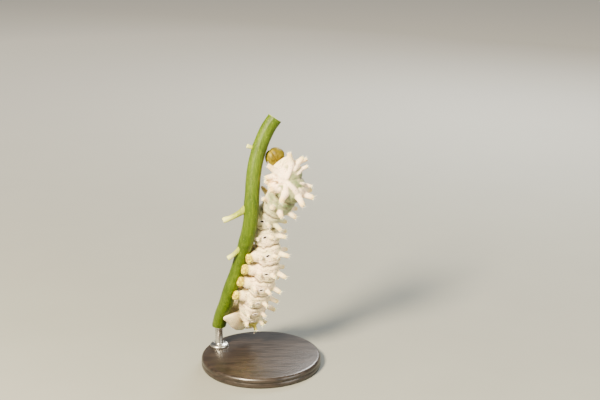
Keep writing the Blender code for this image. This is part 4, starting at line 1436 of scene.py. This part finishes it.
lights = {
    "aim": (0, 0, 50),  # mm
    # place and size in mm, watts and colour
    "lamps": (
        ((-220, -330, 380), 130, 19.0, "#FFE9C6"),
        ((380, -240, 200), 300, 1.8, "#F4F0E6"),
        ((160, 380, 330), 200, 3.2, "#F6F4F0"),
    ),
    "sky": ("#E9ECEE", 0.26),
}

board = {
    "size": 6,  # metres
    "colours": ("#787C76", "#7F837D"),
    "lumps": 40.0,  # mm
    "grain": 0.6,
    "far": ("#F0F2EE", 650.0),  # its colour far from the stand, where the lamps reach it less, and how far
}


def aimed(made, place, target):  # looks from one point to the other
    made.rotation_euler = (Vector(target) - Vector(place)).to_track_quat("-Z", "Y").to_euler()


def makeCamera():
    tilt = math.radians(camera["elevation"])
    away = Vector((0.0, -math.cos(tilt), math.sin(tilt)))
    place = Vector(camera["target"]) * mm + away * camera["distance"] * mm
    bpy.ops.object.camera_add(location=place)
    made = bpy.context.object
    aimed(made, away, (0, 0, 0))
    made.data.lens = camera["lens"]
    made.data.sensor_width = camera["sensor"]
    bpy.context.scene.camera = made


def makeLights():
    for place, size, power, colour in lights["lamps"]:
        location = Vector(place) * mm
        bpy.ops.object.light_add(type="AREA", location=location)
        lamp = bpy.context.object
        lamp.data.shape = "DISK"
        lamp.data.size = size * mm
        lamp.data.energy = power
        lamp.data.color = linearColour(colour)[:3]
        aimed(lamp, location, Vector(lights["aim"]) * mm)
    world = bpy.data.worlds.new("studioSky")
    bpy.context.scene.world = world
    world.use_nodes = True
    colour, strength = lights["sky"]
    world.node_tree.nodes["Background"].inputs["Color"].default_value = linearColour(colour)
    world.node_tree.nodes["Background"].inputs["Strength"].default_value = strength


def makeFloor():  # matt painted board
    bpy.ops.mesh.primitive_plane_add(size=board["size"])
    floor = bpy.context.object
    floor.name = "floor"
    made, tree, shader, place = startMaterial("mattPaintedBoard", {"Roughness": 0.8})
    lumps, grain = (addNode(tree, "TexNoise", {
        "Vector": place, "Scale": 1 / size, "Detail": 3.0, "Roughness": 0.55})
        for size in (board["lumps"], board["grain"]))
    farColour, reach = board["far"]
    distance = addNode(tree, "VectorMath", {0: place}, "Value", operation="LENGTH")
    away = addNode(tree, "MapRange", {"Value": distance, "From Max": reach})
    away = addNode(tree, "Math", {0: away, 1: away}, operation="MULTIPLY")
    colour = layTones(tree, board["colours"][0], ((lumps, 1.0, board["colours"][1]), (away, 1.0, farColour)))
    finish(tree, shader, colour, grain, 0.02)
    floor.data.materials.append(made)


makeCamera()
makeLights()
makeFloor()
print("camera, lights and floor")
